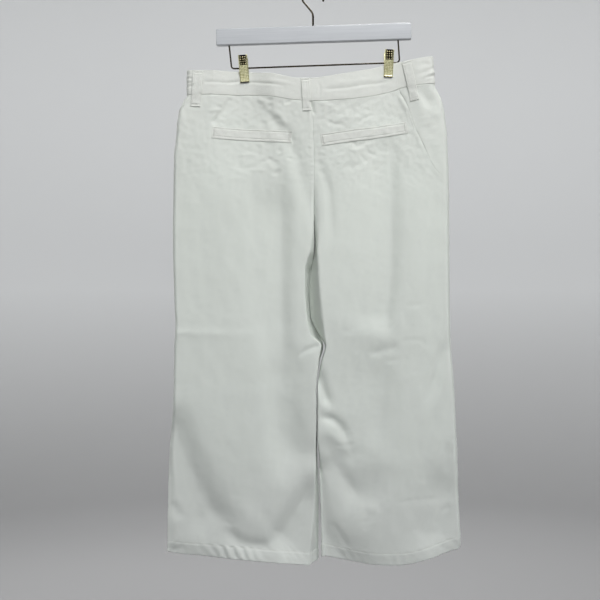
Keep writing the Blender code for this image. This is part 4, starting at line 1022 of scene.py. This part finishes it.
# ---- Pieces laid on the cloth --------------------------------------------------------------
def skin(*names):
    """The faces of some pieces, to lay others on."""
    graph = bpy.context.evaluated_depsgraph_get()
    return [BVHTree.FromObject(MADE[name].made, graph) for name in names]


def outermost(trees, across, drop, facing):
    """The y of the cloth nearest to a viewer on one side, at a point of that face."""
    start = Vector((across, facing * 300, -drop)) * MM
    hits = (tree.ray_cast(start, Vector((0, -facing, 0)))[0] for tree in trees)
    return max((facing * hit.y / MM for hit in hits if hit is not None), default=0.0)


def bridged(height, spans):
    """A surface laid over another: it keeps the high places and spans the low ones."""
    for axis, span in enumerate(spans):
        pad = [(span, span) if i == axis else (0, 0) for i in range(2)]
        padded = np.pad(height, pad, mode="edge")
        count = height.shape[axis]
        shifted = [np.take(padded, range(i, i + count), axis=axis) for i in range(2 * span + 1)]
        height = np.maximum(np.mean(shifted, axis=0), height)
    return height


def lay(name, across, drop, relief, trees, facing, flat, spans, rise=0.0, wall=TRIM_CLOTH,
        tint_drop=0.0):
    """A piece laid on the cloth, from grids of its points seen from that side."""
    base = np.array([[outermost(trees, x, z, facing) for x, z in zip(*line)]
                     for line in zip(across, drop)])
    base = bridged(base, spans) + LAID + rise
    to_edge = np.minimum(flat, flat.max(axis=(0, 1)) - flat).min(axis=-1)
    drawn_in = edge_round(to_edge, 0.48 * wall)
    outer = facing * (base + wall - drawn_in + relief * ease(to_edge, 0, 1.5))
    inner = facing * (base + drawn_in)
    outside, inside = (np.stack((across, y, -drop), -1) for y in (outer, inner))
    sew(name, outside, inside, flat, tint_drop)


def strip_run(strip):
    """Start, unit direction and length of a strip's line."""
    start = np.array(strip.start)
    run = np.array(strip.end) - start
    length = np.hypot(*run)
    return start, run / length, length


def make_loops():
    for loops, facing in ((BACK_LOOPS, -1), (FRONT_LOOPS, 1)):
        trees = skin(*(name for name in MADE if name.startswith(("back_", "front_", "waistband_"))))
        for loop in loops:
            top, run, length = strip_run(loop)
            down = steps_over(length - LOOP_INSET, 3.6, 1.2)
            width, along = np.meshgrid(steps_over(loop.width, 3.4, 1.0), down)
            from_middle = width - loop.width / 2
            narrowing = 1 - 0.05 * np.sin(math.pi * along / down[-1])
            across, drop = (
                top[axis] + (along + LOOP_INSET) * run[axis] + from_middle * narrowing * sideways
                for axis, sideways in enumerate((run[1], -run[0])))
            lifted = LOOP_LIFT * ease(along, 5, 0.35 * length)
            lifted = lifted * (1 - ease(along, 0.6 * length, length - 8))
            from_edge = loop.width / 2 - np.abs(from_middle)
            relief = -0.45 * bell(from_edge - LOOP_STITCH, 0.8) + 0.5 * FINE_NOISE(width / 6, along / 9)
            for end in (TACK_PLACE, down[-1] - TACK_PLACE):
                relief = relief - 1.0 * bell(along - end, 1.5) + 0.4 * bell(along - end - 3.4, 1.3)
            lay(loop.name, across, drop, relief + 0.25, trees, facing, np.stack((width, along), -1),
                (2, 1), rise=lifted)


def make_welts():
    trees = skin("back_left", "back_right")
    for welt in WELTS:
        start, run, length = strip_run(welt)
        along, down = np.meshgrid(steps_over(length, 3.6, 1.2), steps_over(WELT_HEIGHT, 3.2, 0.7))
        across = start[0] + along * run[0] - down * run[1]
        drop = start[1] + along * run[1] + down * run[0]
        from_end = np.minimum(along, length - along)
        to_edge = np.minimum(from_end, WELT_HEIGHT - down)
        ends = ease(from_end, 1.0, 3.0)
        relief = -0.75 * ends * bell(down - WELT_OPENING, 0.9)
        relief = relief - 0.55 * ends * bell(WELT_HEIGHT - down - WELT_FOOT, 0.9)
        relief = relief - WELT_GROOVE * bell(from_end - WELT_STITCH, 0.9)
        relief = relief - WELT_GROOVE * bell(to_edge - WELT_STITCH, 0.8)
        relief = relief + 0.5 * BROAD_NOISE(along / 15, down / 9 + welt.start[0])
        lay(welt.name, across, drop, relief, trees, -1, np.stack((along, down), -1), (4, 1),
            wall=WELT_CLOTH)


def make_fly():
    """The fly's flap, from the waist seam down to its round end, over the centre front seam."""
    top = float(drop_of(BAND_BOTTOM_FRONT, 0)) + 3 * GAP
    whole = FLY_WIDTH + FLY_OVERLAP
    straight = FLY_LENGTH - FLY_ROUND
    round_end = straight + FLY_ROUND * np.sin(np.linspace(0, 1.36, 34))
    share, down = np.meshgrid(
        steps_over(whole, 3.4, 1.1) / whole,
        np.concatenate((EDGE_STEPS, np.arange(3.8, straight, 1.3), round_end)))
    into_round = np.maximum(down - straight, 0) / FLY_ROUND
    width = FLY_WIDTH * np.sqrt(1 - into_round**2) + FLY_OVERLAP
    across = FLY_OVERLAP - share * width
    relief = -0.3 * bell((1 - share) * width - FLY_STITCHES[0], 0.9)
    relief = relief + 0.3 * BROAD_NOISE(across / 19, down / 24)
    lay("fly", across, top + down, relief, skin("front_left", "front_right"), 1,
        np.stack((share * whole, down), -1), (3, 2), tint_drop=top)


# ---- Stitches ------------------------------------------------------------------------------
def level_line(cloth, field, value, axis, share):
    """The line over a piece where a field that rises along an axis has one value, with the
    normals along it, over a share of its length."""
    field, grid, normals = (
        np.moveaxis(each, axis, 0) for each in (field, cloth.grid, cloth.normals))
    low = np.clip((field < value).sum(axis=0) - 1, 0, len(field) - 2)
    line = np.arange(field.shape[1])
    part = (value - field[low, line]) / (field[low + 1, line] - field[low, line])
    part = np.clip(part, 0, 1)[:, None]
    kept = math.ceil(share * len(line))
    return ((each[low, line] * (1 - part) + each[low + 1, line] * part)[:kept]
            for each in (grid, normals))


def stitches(cloth, field, value, axis, share=1.0):
    """Stitches along a level line of a piece, as rows of (centre, direction, normal)."""
    points, normals = level_line(cloth, field, value, axis, share)
    steps = np.linalg.norm(np.diff(points, axis=0), axis=1)
    travelled = np.concatenate(([0], np.cumsum(steps)))
    places = np.arange(STITCH_PITCH / 2, travelled[-1] - STITCH_PITCH / 2, STITCH_PITCH)

    def at(values, where):
        return np.column_stack([np.interp(where, travelled, values[:, i]) for i in range(3)])

    start, end = (at(points, places + reach) for reach in (-STITCH_LENGTH / 2, STITCH_LENGTH / 2))
    normal = at(normals, places)
    centre = (start + end) / 2 + normal * STITCH_SUNK
    sway = STITCH_WANDER * np.sin(places * 12.9898) * np.sin(places * 3.17)
    direction = end - start
    side = np.cross(direction, normal)
    side /= np.linalg.norm(side, axis=1)[:, None]
    return [(c + s * w, d, n) for c, s, w, d, n in zip(centre, side, sway, direction, normal)]


def bar_tack(cloth, first, last, height):
    """A row of close threads over a piece, from one point of its map to another."""
    first = np.array(first)
    flat, points, normals = (
        each.reshape(-1, each.shape[-1]) for each in (cloth.flat, cloth.grid, cloth.normals))
    count = int(np.hypot(*(np.array(last) - first)) / TACK_PITCH)
    run = (np.array(last) - first) / count
    along = np.array((-run[1], run[0])) / np.hypot(*run)
    right, down = cloth.grid[3, 4] - cloth.grid[3, 3], cloth.grid[4, 3] - cloth.grid[3, 3]
    right, down = right / np.linalg.norm(right), down / np.linalg.norm(down)
    made = []
    for step in range(count + 1):
        place = first + run * step
        low, near, high = (int(np.hypot(*(flat - place - along * reach).T).argmin())
                           for reach in (-TACK_REACH, 0, TACK_REACH))
        direction = points[high] - points[low]
        direction = direction / max(np.linalg.norm(direction), 1e-6) * height
        offset = place - flat[near]
        centre = points[near] + right * offset[0] + down * offset[1] + normals[near] * 0.15
        made.append((centre, direction, normals[near]))
    return made


def around(rings):
    """Corners of the faces between closed rings, from each to the next."""
    for low, high in zip(rings, rings[1:]):
        yield from zip(low, low[1:] + low[:1], high[1:] + high[:1], high)


def make_threads(name, rows):
    """One mesh of many stitches, each a small rounded bar lying on the cloth."""
    ring = np.linspace(0, 2 * math.pi, THREAD_SIDES, endpoint=False)
    stations = ((-0.5, 0.35), (-0.3, 0.95), (0.3, 0.95), (0.5, 0.35))
    template = np.array([(s, r * math.cos(a), r * math.sin(a)) for s, r in stations for a in ring])
    rings = np.arange(len(template)).reshape(-1, THREAD_SIDES).tolist()
    faces = [*around(rings), rings[0][::-1], rings[-1]]
    vertices, polygons = [], []
    for centre, direction, normal in rows:
        side = np.cross(direction, normal)
        side = side / np.linalg.norm(side)
        up = np.cross(side, direction)
        up = up / np.linalg.norm(up)
        start = len(vertices) * len(template)
        vertices.append(centre + template[:, :1] * direction + template[:, 1:2] * side * THREAD / 2
                        + template[:, 2:] * up * THREAD * THREAD_RISE)
        polygons.extend([start + i for i in face] for face in faces)
    mesh = bpy.data.meshes.new(name)
    mesh.from_pydata((np.concatenate(vertices) * MM).tolist(), [], polygons)
    mesh.update()
    mesh.shade_smooth()
    shown(name, mesh, THREAD_FINISH, "twill")


def panel_stitches(part, side):
    cloth = MADE[f"{part}_{side}"]
    drop = -cloth.grid[..., 2]
    rows = stitches(cloth, drop - drop[-1:], -HEM_STITCH, 0)
    if part == "back" and side == "left":
        lengths = cloth.flat[..., 0] - cloth.flat[..., :1, 0]
        for inset in SEAM_STITCHES:
            rows += stitches(cloth, lengths, inset, 1, SEAM_STITCHED)
    return rows


def band_stitches(cloth):
    down = cloth.flat[..., 1]
    rows = stitches(cloth, down, BAND_STITCH, 0)
    return rows + stitches(cloth, down - down[-1:], -BAND_STITCH, 0)


def loop_stitches(cloth, wide):
    across, length = cloth.flat[..., 0], cloth.flat[..., 1].max()
    rows = []
    for inset in (LOOP_STITCH, wide - LOOP_STITCH):
        rows += stitches(cloth, across, inset, 1)
    for end in (TACK_PLACE, length - TACK_PLACE):
        rows += bar_tack(cloth, (TACK_INSET, end), (wide - TACK_INSET, end), 2.2)
    return rows


def welt_stitches(cloth):
    along, down = cloth.flat[..., 0], cloth.flat[..., 1]
    length = along.max()
    rows = []
    for inset in (WELT_STITCH, WELT_HEIGHT - WELT_STITCH):
        rows += stitches(cloth, down, inset, 0)
    for end in (WELT_STITCH, length - WELT_STITCH):
        rows += stitches(cloth, along, end, 1)
        inner = end + math.copysign(2.2, length / 2 - end)
        rows += bar_tack(cloth, (inner, 3), (inner, WELT_HEIGHT - 3), 2.0)
    return rows


def fly_stitches(cloth):
    whole = FLY_WIDTH + FLY_OVERLAP
    rows = []
    for inset in FLY_STITCHES:
        rows += stitches(cloth, cloth.flat[..., 0] / whole, 1 - inset / whole, 1)
    return rows


def sew_stitches():
    for _, side in SIDES:
        for part in ("back", "front"):
            make_threads(f"stitches_{part}_{side}", panel_stitches(part, side))
    for part in ("back", "front_left", "front_right"):
        make_threads(f"stitches_waistband_{part}", band_stitches(MADE[f"waistband_{part}"]))
    for loop in BACK_LOOPS + FRONT_LOOPS:
        make_threads(f"stitches_{loop.name}", loop_stitches(MADE[loop.name], loop.width))
    for welt in WELTS:
        make_threads(f"stitches_{welt.name}", welt_stitches(MADE[welt.name]))
    make_threads("stitches_fly", fly_stitches(MADE["fly"]))


# ---- Hanger --------------------------------------------------------------------------------
def mesh_from(name, bm):
    """A smooth mesh, its faces turned out."""
    bmesh.ops.recalc_face_normals(bm, faces=bm.faces)
    mesh = bpy.data.meshes.new(name)
    bm.to_mesh(mesh)
    bm.free()
    mesh.shade_smooth()
    return mesh


def bar_face(across, side):
    """Height of the bar's upper (1) or lower (-1) face at a place across."""
    half = BAR_SIZE[2] / 2 / math.cos(BAR_TILT)
    return BAR_CENTRE[1] + (across - BAR_CENTRE[0]) * math.tan(BAR_TILT) + side * half


def make_bar():
    bm = bmesh.new()
    bmesh.ops.create_cube(bm, size=MM)
    bmesh.ops.scale(bm, vec=BAR_SIZE, verts=bm.verts)
    bmesh.ops.bevel(
        bm, geom=list(bm.edges), offset=BAR_ROUND * MM, segments=6, profile=0.5, affect="EDGES")
    made = shown("bar", mesh_from("bar", bm), WOOD, "painted_wood", "hanger_bar")
    made.location = Vector((BAR_CENTRE[0], 0, BAR_CENTRE[1])) * MM
    made.rotation_euler.y = -BAR_TILT


def wire(name, line, diameter, slot, *nodes):
    """A steel wire along a line of points."""
    curve = bpy.data.curves.new(name, "CURVE")
    curve.dimensions = "3D"
    curve.bevel_depth = diameter / 2 * MM
    curve.bevel_resolution = 5
    curve.use_fill_caps = True
    spline = curve.splines.new("POLY")
    spline.points.add(len(line) - 1)
    for point, place in zip(spline.points, line):
        point.co = (*(value * MM for value in place), 1)
    spline.use_smooth = True
    return shown(name, curve, STEEL, slot, *nodes)


def make_hook():
    centre = Vector((0, HOOK_WIRE / 2 - HOOK_RADIUS))
    bend = Vector((0, -SHANK_BEND_DROP))
    # The straight run from the shank's bend meets the round of the hook as a tangent.
    away = bend - centre
    tangent_angle = math.atan2(away.y, away.x) - math.acos(HOOK_RADIUS / away.length) + 2 * math.pi
    angles = np.linspace(tangent_angle, HOOK_TIP_ANGLE, 64)
    round_part = [centre + HOOK_RADIUS * Vector((math.cos(a), math.sin(a))) for a in angles]
    foot = Vector((0, bar_face(0, 1) + GAP))
    along = (round_part[0] - bend).normalized()
    rounded = corner_curve(np.array(bend - Vector((0, SHANK_BEND))), np.array(bend),
                           np.array(bend + along * SHANK_BEND), 12)
    line = [(x, 0, z) for x, z in [foot, *rounded, *round_part]]
    wire("hook_wire", line, HOOK_WIRE, "hanger_wire", "hook")


def rounded_corner(before, corner, after):
    """An arc that joins two straight runs of the clips' wire at a corner."""
    back, ahead = (before - corner).normalized(), (after - corner).normalized()
    half_angle = back.angle(ahead) / 2
    reach = CLIP_WIRE_BEND / math.tan(half_angle)
    centre = corner + (back + ahead).normalized() * CLIP_WIRE_BEND / math.sin(half_angle)
    start, end = corner + back * reach - centre, corner + ahead * reach - centre
    directions = [start.lerp(end, share).normalized() for share in np.linspace(0, 1, 12)]
    return [tuple(centre + direction * CLIP_WIRE_BEND) for direction in directions]


def make_clip_wire():
    corners = [Vector((edge.across, -edge.drop)) for edge in CLIP_WIRE_LINE]
    for end in (corners[0], corners[3]):
        end.y = bar_face(end.x, -1) - GAP
    points = [corners[0], *rounded_corner(*corners[:3]), *rounded_corner(*corners[1:]), corners[3]]
    wire("clip_wire_run", [(x, 0, z) for x, z in points], CLIP_WIRE, "hanger_wire", "clip_wire")


def jaw_plate():
    """Outer and inner grid of a jaw's plate, with its curled sides."""
    line = smooth_line(JAW_LINE, 8)
    travelled = along_line(line)
    along = np.linspace(0, travelled[-1], 70)
    up, out = (np.interp(along, travelled, line[:, axis]) for axis in (0, 1))
    run = np.gradient(np.column_stack((up, out)), axis=0)
    run /= np.hypot(*run.T)[:, None]
    half = CLIP_WIDTH / 2
    across = half * np.sin(np.linspace(-1, 1, 33) * math.pi / 2)
    in_curl = np.clip((np.abs(across) - half + JAW_CURL) / JAW_CURL, 0, 1)
    curl = JAW_CURL * (1 - np.sqrt(1 - in_curl**2))
    x = np.broadcast_to(across, (len(along), len(across)))
    ups = up[:, None] + run[:, 1:] * curl
    outs = out[:, None] - run[:, :1] * curl
    return [np.stack((x, -(outs + wall * run[:, :1]), ups - wall * run[:, 1:]), -1)
            for wall in (0.5 * CLIP_PLATE, -0.5 * CLIP_PLATE)]


def jaw_bumps(name):
    bm = bmesh.new()
    line = smooth_line(JAW_LINE, 8)
    for row in range(BUMP_ROWS):
        for column in (-1, 0, 1):
            up = BUMP_START + row * BUMP_PITCH
            out = float(np.interp(up, line[:, 0], line[:, 1])) + CLIP_PLATE / 2
            spot = Matrix.Translation(Vector((column * BUMP_PITCH, -out, up)) * MM)
            bmesh.ops.create_uvsphere(bm, u_segments=14, v_segments=8, radius=BUMP_RADIUS * MM,
                                      matrix=spot @ Matrix.Diagonal((1, 0.6, 1, 1)))
    return shown(name, mesh_from(name, bm), BRASS, "clip_metal")


def jaw_ears(name, face):
    bm = bmesh.new()
    for side in (-1, 1):
        middle = side * EAR_ACROSS[face]
        ends = [[bm.verts.new(Vector((x, -point.out, point.up)) * MM) for point in EAR_SHAPE]
                for x in (middle - EAR_THICK / 2, middle + EAR_THICK / 2)]
        bm.faces.new(ends[0])
        bm.faces.new(ends[1][::-1])
        for corners in around(ends):
            bm.faces.new(corners)
    bmesh.ops.bevel(
        bm, geom=list(bm.edges), offset=0.25 * MM, segments=2, profile=0.5, affect="EDGES")
    return shown(name, mesh_from(name, bm), BRASS, "clip_metal")


def make_jaw(clip, face):
    """One jaw: its plate with thumb bumps, its rolled lip and its two ears on the wire."""
    name = f"{clip.name}_{face}"
    place = Matrix.Translation(Vector((clip.across, 0, -clip.wire_drop)) * MM)
    place @= Matrix.Rotation(-clip.lean, 4, "Y")
    if face == "front":
        place @= Matrix.Rotation(math.pi, 4, "Z")
    mesh = wall_mesh(f"{name}_plate", *jaw_plate())
    # The lip takes the dark wire finish: its near-black colour is painted reflection and painted shade
    # along the lip.
    half = CLIP_WIDTH / 2 - 0.6
    lip = [(x, -JAW_PROFILE[0].out, JAW_PROFILE[0].up) for x in np.linspace(-half, half, 9)]
    for made in (shown(f"{name}_plate", mesh, JAW_METAL, "clip_metal", f"{name}_jaw"),
                 jaw_bumps(f"{name}_bumps"), jaw_ears(f"{name}_ears", face),
                 wire(f"{name}_lip", lip, LIP_WIRE, "clip_metal")):
        made.matrix_world = place


def make_clips():
    left, right = CLIP_WIRE_LINE[1:3]
    slope = math.atan2(left.drop - right.drop, right.across - left.across)
    turns = np.linspace(0, 2 * math.pi * SPRING_TURNS, 24 * SPRING_TURNS)
    radius = SPRING_RADIUS - SPRING_WIRE / 2
    along = np.linspace(-0.5, 0.5, len(turns)) * (SPRING_LENGTH - SPRING_WIRE)
    coil = list(zip(along, radius * np.cos(turns), radius * np.sin(turns)))
    for clip in CLIPS:
        make_jaw(clip, "back")
        make_jaw(clip, "front")
        spring = wire(f"{clip.name}_coil", coil, SPRING_WIRE, "hanger_wire", f"{clip.name}_spring")
        spring.location = Vector((clip.across, 0, -clip.wire_drop)) * MM
        spring.rotation_euler.y = -slope


def make_button():
    """A turned button: a dished cap with a raised rim."""
    across, down = BUTTON_PLACE
    drop = float(drop_of(BAND_TOP_FRONT, across)) + down
    y = outermost(skin("waistband_front_left"), across, drop, 1) + 0.1
    turns = np.linspace(0, 2 * math.pi, 48, endpoint=False)
    bm = bmesh.new()
    rings = [[bm.verts.new(Vector((across + r * math.cos(a), y + h, -drop + r * math.sin(a))) * MM)
              for a in turns] for r, h in smooth_line(BUTTON_PROFILE, 5)]
    for corners in around(rings):
        bm.faces.new(corners)
    bm.faces.new(rings[0][::-1])
    bm.faces.new(rings[-1])
    shown("turned_button", mesh_from("turned_button", bm), BUTTON_METAL, "button_metal", "button")


# ---- Materials -----------------------------------------------------------------------------
class Shader:
    """A material with its nodes, wired by name."""

    def __init__(self, name, **sockets):
        self.material = bpy.data.materials.new(name)
        self.material.use_nodes = True
        self.tree = self.material.node_tree
        self.surface = self.tree.nodes["Principled BSDF"]
        for socket, value in sockets.items():
            self.put(self.surface, socket, value)

    def put(self, node, socket, value):
        """Set a socket, or wire another node's output to it."""
        if isinstance(socket, str):
            socket = socket.replace("_", " ").title().replace("Ior", "IOR")
        if isinstance(value, bpy.types.NodeSocket):
            self.tree.links.new(value, node.inputs[socket])
        else:
            node.inputs[socket].default_value = value

    def node(self, kind, output, attributes=(), **sockets):
        """One output of a new node, with its attributes and sockets."""
        made = self.tree.nodes.new(f"ShaderNode{kind}")
        for name, value in dict(attributes).items():
            setattr(made, name, value)
        for socket, value in sockets.items():
            self.put(made, socket, value)
        return made.outputs[output]

    def place(self):
        return self.node("TexCoord", "Object")

    def axis(self, vector, name):
        return self.node("SeparateXYZ", name, vector=vector)

    def noise(self, vector, scale, detail):
        return self.node("TexNoise", "Fac", vector=vector, scale=scale, detail=detail)

    def bands(self, vector, pitch, attributes=(), **sockets):
        """Waves that repeat at a pitch in millimetres."""
        scale = 1 / (pitch * MM) / WAVE_CYCLES
        return self.node("TexWave", "Fac", attributes, vector=vector, scale=scale, **sockets)

    def spread(self, value, low, high, **to):
        """A value spread from low to high over 0 to 1, or over other ends."""
        return self.node("MapRange", "Result", value=value, from_min=low, from_max=high, **to)

    def maths(self, operation, *values):
        made = self.node("Math", "Value", {"operation": operation})
        for i, value in enumerate(values):
            self.put(made.node, i, value)
        return made

    def mix(self, share, low, high):
        """One colour over another, by a share."""
        made = self.tree.nodes.new("ShaderNodeMix")
        made.data_type = "RGBA"
        for socket, value in (("Factor", share), (6, low), (7, (*high, 1))):
            self.put(made, socket, value)
        return made.outputs[2]

    def colours(self, factor, *stops):
        """Colour by a pattern, on a ramp of (place, tint) stops."""
        ramp = self.tree.nodes.new("ShaderNodeValToRGB")
        self.put(ramp, "fac", factor)
        for element, (place, tint) in zip(ramp.color_ramp.elements, (stops[0], stops[-1])):
            element.position = place
            element.color = (*tint, 1)
        for place, tint in stops[1:-1]:
            ramp.color_ramp.elements.new(place).color = (*tint, 1)
        return ramp.outputs["Color"]

    def tints(self, factor, low, high):
        """Colour between two tints, mostly over the middle of a pattern."""
        return self.colours(factor, (0.35, low), (0.65, high))

    def bump(self, height, distance, **before):
        return self.node("Bump", "Normal", strength=1.0, distance=distance, height=height, **before)

    def painted(self, colour, **sockets):
        """The finished material."""
        for socket, value in dict(sockets, base_color=colour).items():
            self.put(self.surface, socket, value)
        return self.material


def twill_finish():
    """White cotton twill: fine diagonal ribs over a slightly uneven, matt cloth whose tint shifts a
    little from the waist down the legs."""
    made = Shader("white_twill", roughness=0.93, sheen_weight=0.12, sheen_roughness=0.5,
                  specular_ior_level=0.18)
    place = made.node("UVMap", "UV", {"uv_map": "cloth"})
    turned = made.node("Mapping", "Vector", vector=place, rotation=(0, 0, TWILL_ANGLE))
    ribs = made.bands(turned, TWILL_PITCH, distortion=0.6, detail_scale=3.0)
    slub = made.noise(place, 900.0, 3.0)
    broad = made.noise(place, 9.0, 4.0)
    patchy = made.maths("MULTIPLY_ADD", broad, TINT_WANDER, made.axis(place, "Y"))
    down = made.spread(patchy, 0.5 * TINT_WANDER, 1.06 + 0.5 * TINT_WANDER)
    uneven = made.bump(slub, 0.00012)
    woven = made.bump(ribs, 0.00010, normal=uneven)
    return made.painted(made.colours(down, *TWILL_TINTS), normal=woven)


def thread_finish():
    made = Shader("cotton_thread", roughness=0.75, sheen_weight=0.2, specular_ior_level=0.25)
    twist = made.noise(made.place(), 1500.0, 1.0)
    colour = made.tints(twist, (0.74, 0.75, 0.71), (0.82, 0.83, 0.79))
    return made.painted(colour, normal=made.bump(twist, 0.0001))


def wood_finish():
    """White satin paint on wood, with a little of the grain under it."""
    made = Shader("painted_wood", roughness=0.38, specular_ior_level=0.45, coat_weight=0.15)
    stretched = made.node("Mapping", "Vector", vector=made.place(), scale=(4, 60, 90))
    grain = made.noise(stretched, 3.0, 6.0)
    colour = made.tints(grain, (0.53, 0.55, 0.575), (0.575, 0.595, 0.62))
    return made.painted(colour, normal=made.bump(grain, 0.00007))


def metal_finish(name, low, high, roughness, scale, depth, over=None):
    """Metal with soft wear, and another finish over its colour."""
    made = Shader(name, metallic=1.0, roughness=roughness)
    place = made.place()
    wear = made.noise(place, scale, 5.0)
    rough = made.spread(wear, 0, 1, to_min=0.75 * roughness, to_max=1.3 * roughness)
    colour = made.tints(wear, low, high)
    if over:
        colour = over(made, place, colour)
    return made.painted(colour, roughness=rough, normal=made.bump(wear, depth))


def jaw_colour(made, place, plain):
    """Knurled brass that is darkened on the thumb end, but for its sides, which keep the bright brass
    as a painted highlight.
    """
    thumb = made.spread(made.axis(place, "Z"), THUMB_START * MM, (THUMB_START + 1) * MM)
    side = made.maths("ABSOLUTE", made.axis(place, "X"))
    # Keeps the dark off the jaw's sides, leaving a painted highlight along both edges.
    away_from_highlight = made.spread(side, HIGHLIGHT_SIDE * MM, (HIGHLIGHT_SIDE - HIGHLIGHT_BLUR) * MM)
    knurl = (made.bands(place, KNURL_PITCH, {"bands_direction": axis}) for axis in ("X", "Z"))
    pits = made.spread(made.maths("MULTIPLY", *knurl), 0.35, 0.6)
    pitted = made.mix(pits, plain, PIT_COLOUR)
    return made.mix(made.maths("MULTIPLY", thumb, away_from_highlight), pitted, DARK_COLOUR)


def floor_finish():
    made = Shader("studio_floor", roughness=0.9, specular_ior_level=0.1)
    # Painted shade: darker on the floor, paler up the wall.
    rise = made.spread(made.axis(made.place(), "Z"), *FLOOR_TURN)
    return made.painted(made.colours(rise, (0, FLOOR_PAINTED_SHADE), (1, FLOOR_HIGH)))


# ---- Stage, light and camera ---------------------------------------------------------------
def make_stage():
    """A round studio: a pale floor that curves up into a wall far from the garment on all sides."""
    profile = [(STAGE_FLAT + STAGE_CURVE * math.sin(a), STAGE_FLOOR + STAGE_CURVE * (1 - math.cos(a)))
               for a in np.linspace(0, math.pi / 2, 24)]
    profile.append((STAGE_FLAT + STAGE_CURVE, STAGE_TOP))
    turns = np.linspace(0, 2 * math.pi, 96, endpoint=False)
    bm = bmesh.new()
    rings = [[bm.verts.new((r * math.cos(a), r * math.sin(a), z)) for a in turns] for r, z in profile]
    bm.faces.new(rings[0])
    for corners in around(rings):
        bm.faces.new(corners)
    mesh = mesh_from("floor", bm)
    mesh.materials.append(floor_finish())
    floor = linked("floor", mesh)


def make_light():
    for name, place, target, size, power in LAMPS:
        lamp = bpy.data.lights.new(name, "AREA")
        lamp.shape = "RECTANGLE"
        lamp.size, lamp.size_y = size
        lamp.energy = power
        made = linked(name, lamp)
        made.location = place
        made.rotation_euler = (Vector(target) - Vector(place)).to_track_quat("-Z", "Y").to_euler()
    world = bpy.data.worlds.new("studio")
    world.use_nodes = True
    sky = world.node_tree.nodes["Background"]
    sky.inputs["Color"].default_value = (*SKY_COLOUR, 1)
    sky.inputs["Strength"].default_value = SKY_STRENGTH
    bpy.context.scene.world = world


def make_camera():
    camera = bpy.data.cameras.new("camera")
    camera.sensor_width = 36.0
    camera.lens = CAMERA_LENS
    camera.clip_start, camera.clip_end = 0.05, 60
    made = linked("camera", camera)
    made.location = CAMERA_PLACE
    made.rotation_euler = (math.radians(90), 0, 0)
    bpy.context.scene.camera = made


def main():
    make_waistband()
    make_panels()
    make_loops()
    make_welts()
    make_fly()
    sew_stitches()
    make_button()
    make_bar()
    make_hook()
    make_clip_wire()
    make_clips()
    make_stage()
    make_light()
    make_camera()
    bpy.context.scene.view_settings.view_transform = "Standard"


TWILL = twill_finish()
THREAD_FINISH = thread_finish()
WOOD = wood_finish()
# Painted reflection: the wire's near-black colour stands in for dark surroundings mirrored in bright
# steel.
STEEL = metal_finish("dark_wire", (0.035, 0.030, 0.022), (0.075, 0.062, 0.042), 0.24, 160.0, 0.00005)
BRASS = metal_finish("pale_brass", (0.52, 0.46, 0.25), (0.78, 0.71, 0.46), 0.34, 420.0, 0.00025)
JAW_METAL = metal_finish(
    "jaw_brass", (0.54, 0.52, 0.29), (0.85, 0.83, 0.56), 0.36, 420.0, 0.0003, jaw_colour)
BUTTON_METAL = metal_finish("nickel", (0.52, 0.52, 0.50), (0.62, 0.62, 0.60), 0.25, 400.0, 0.00005)
main()
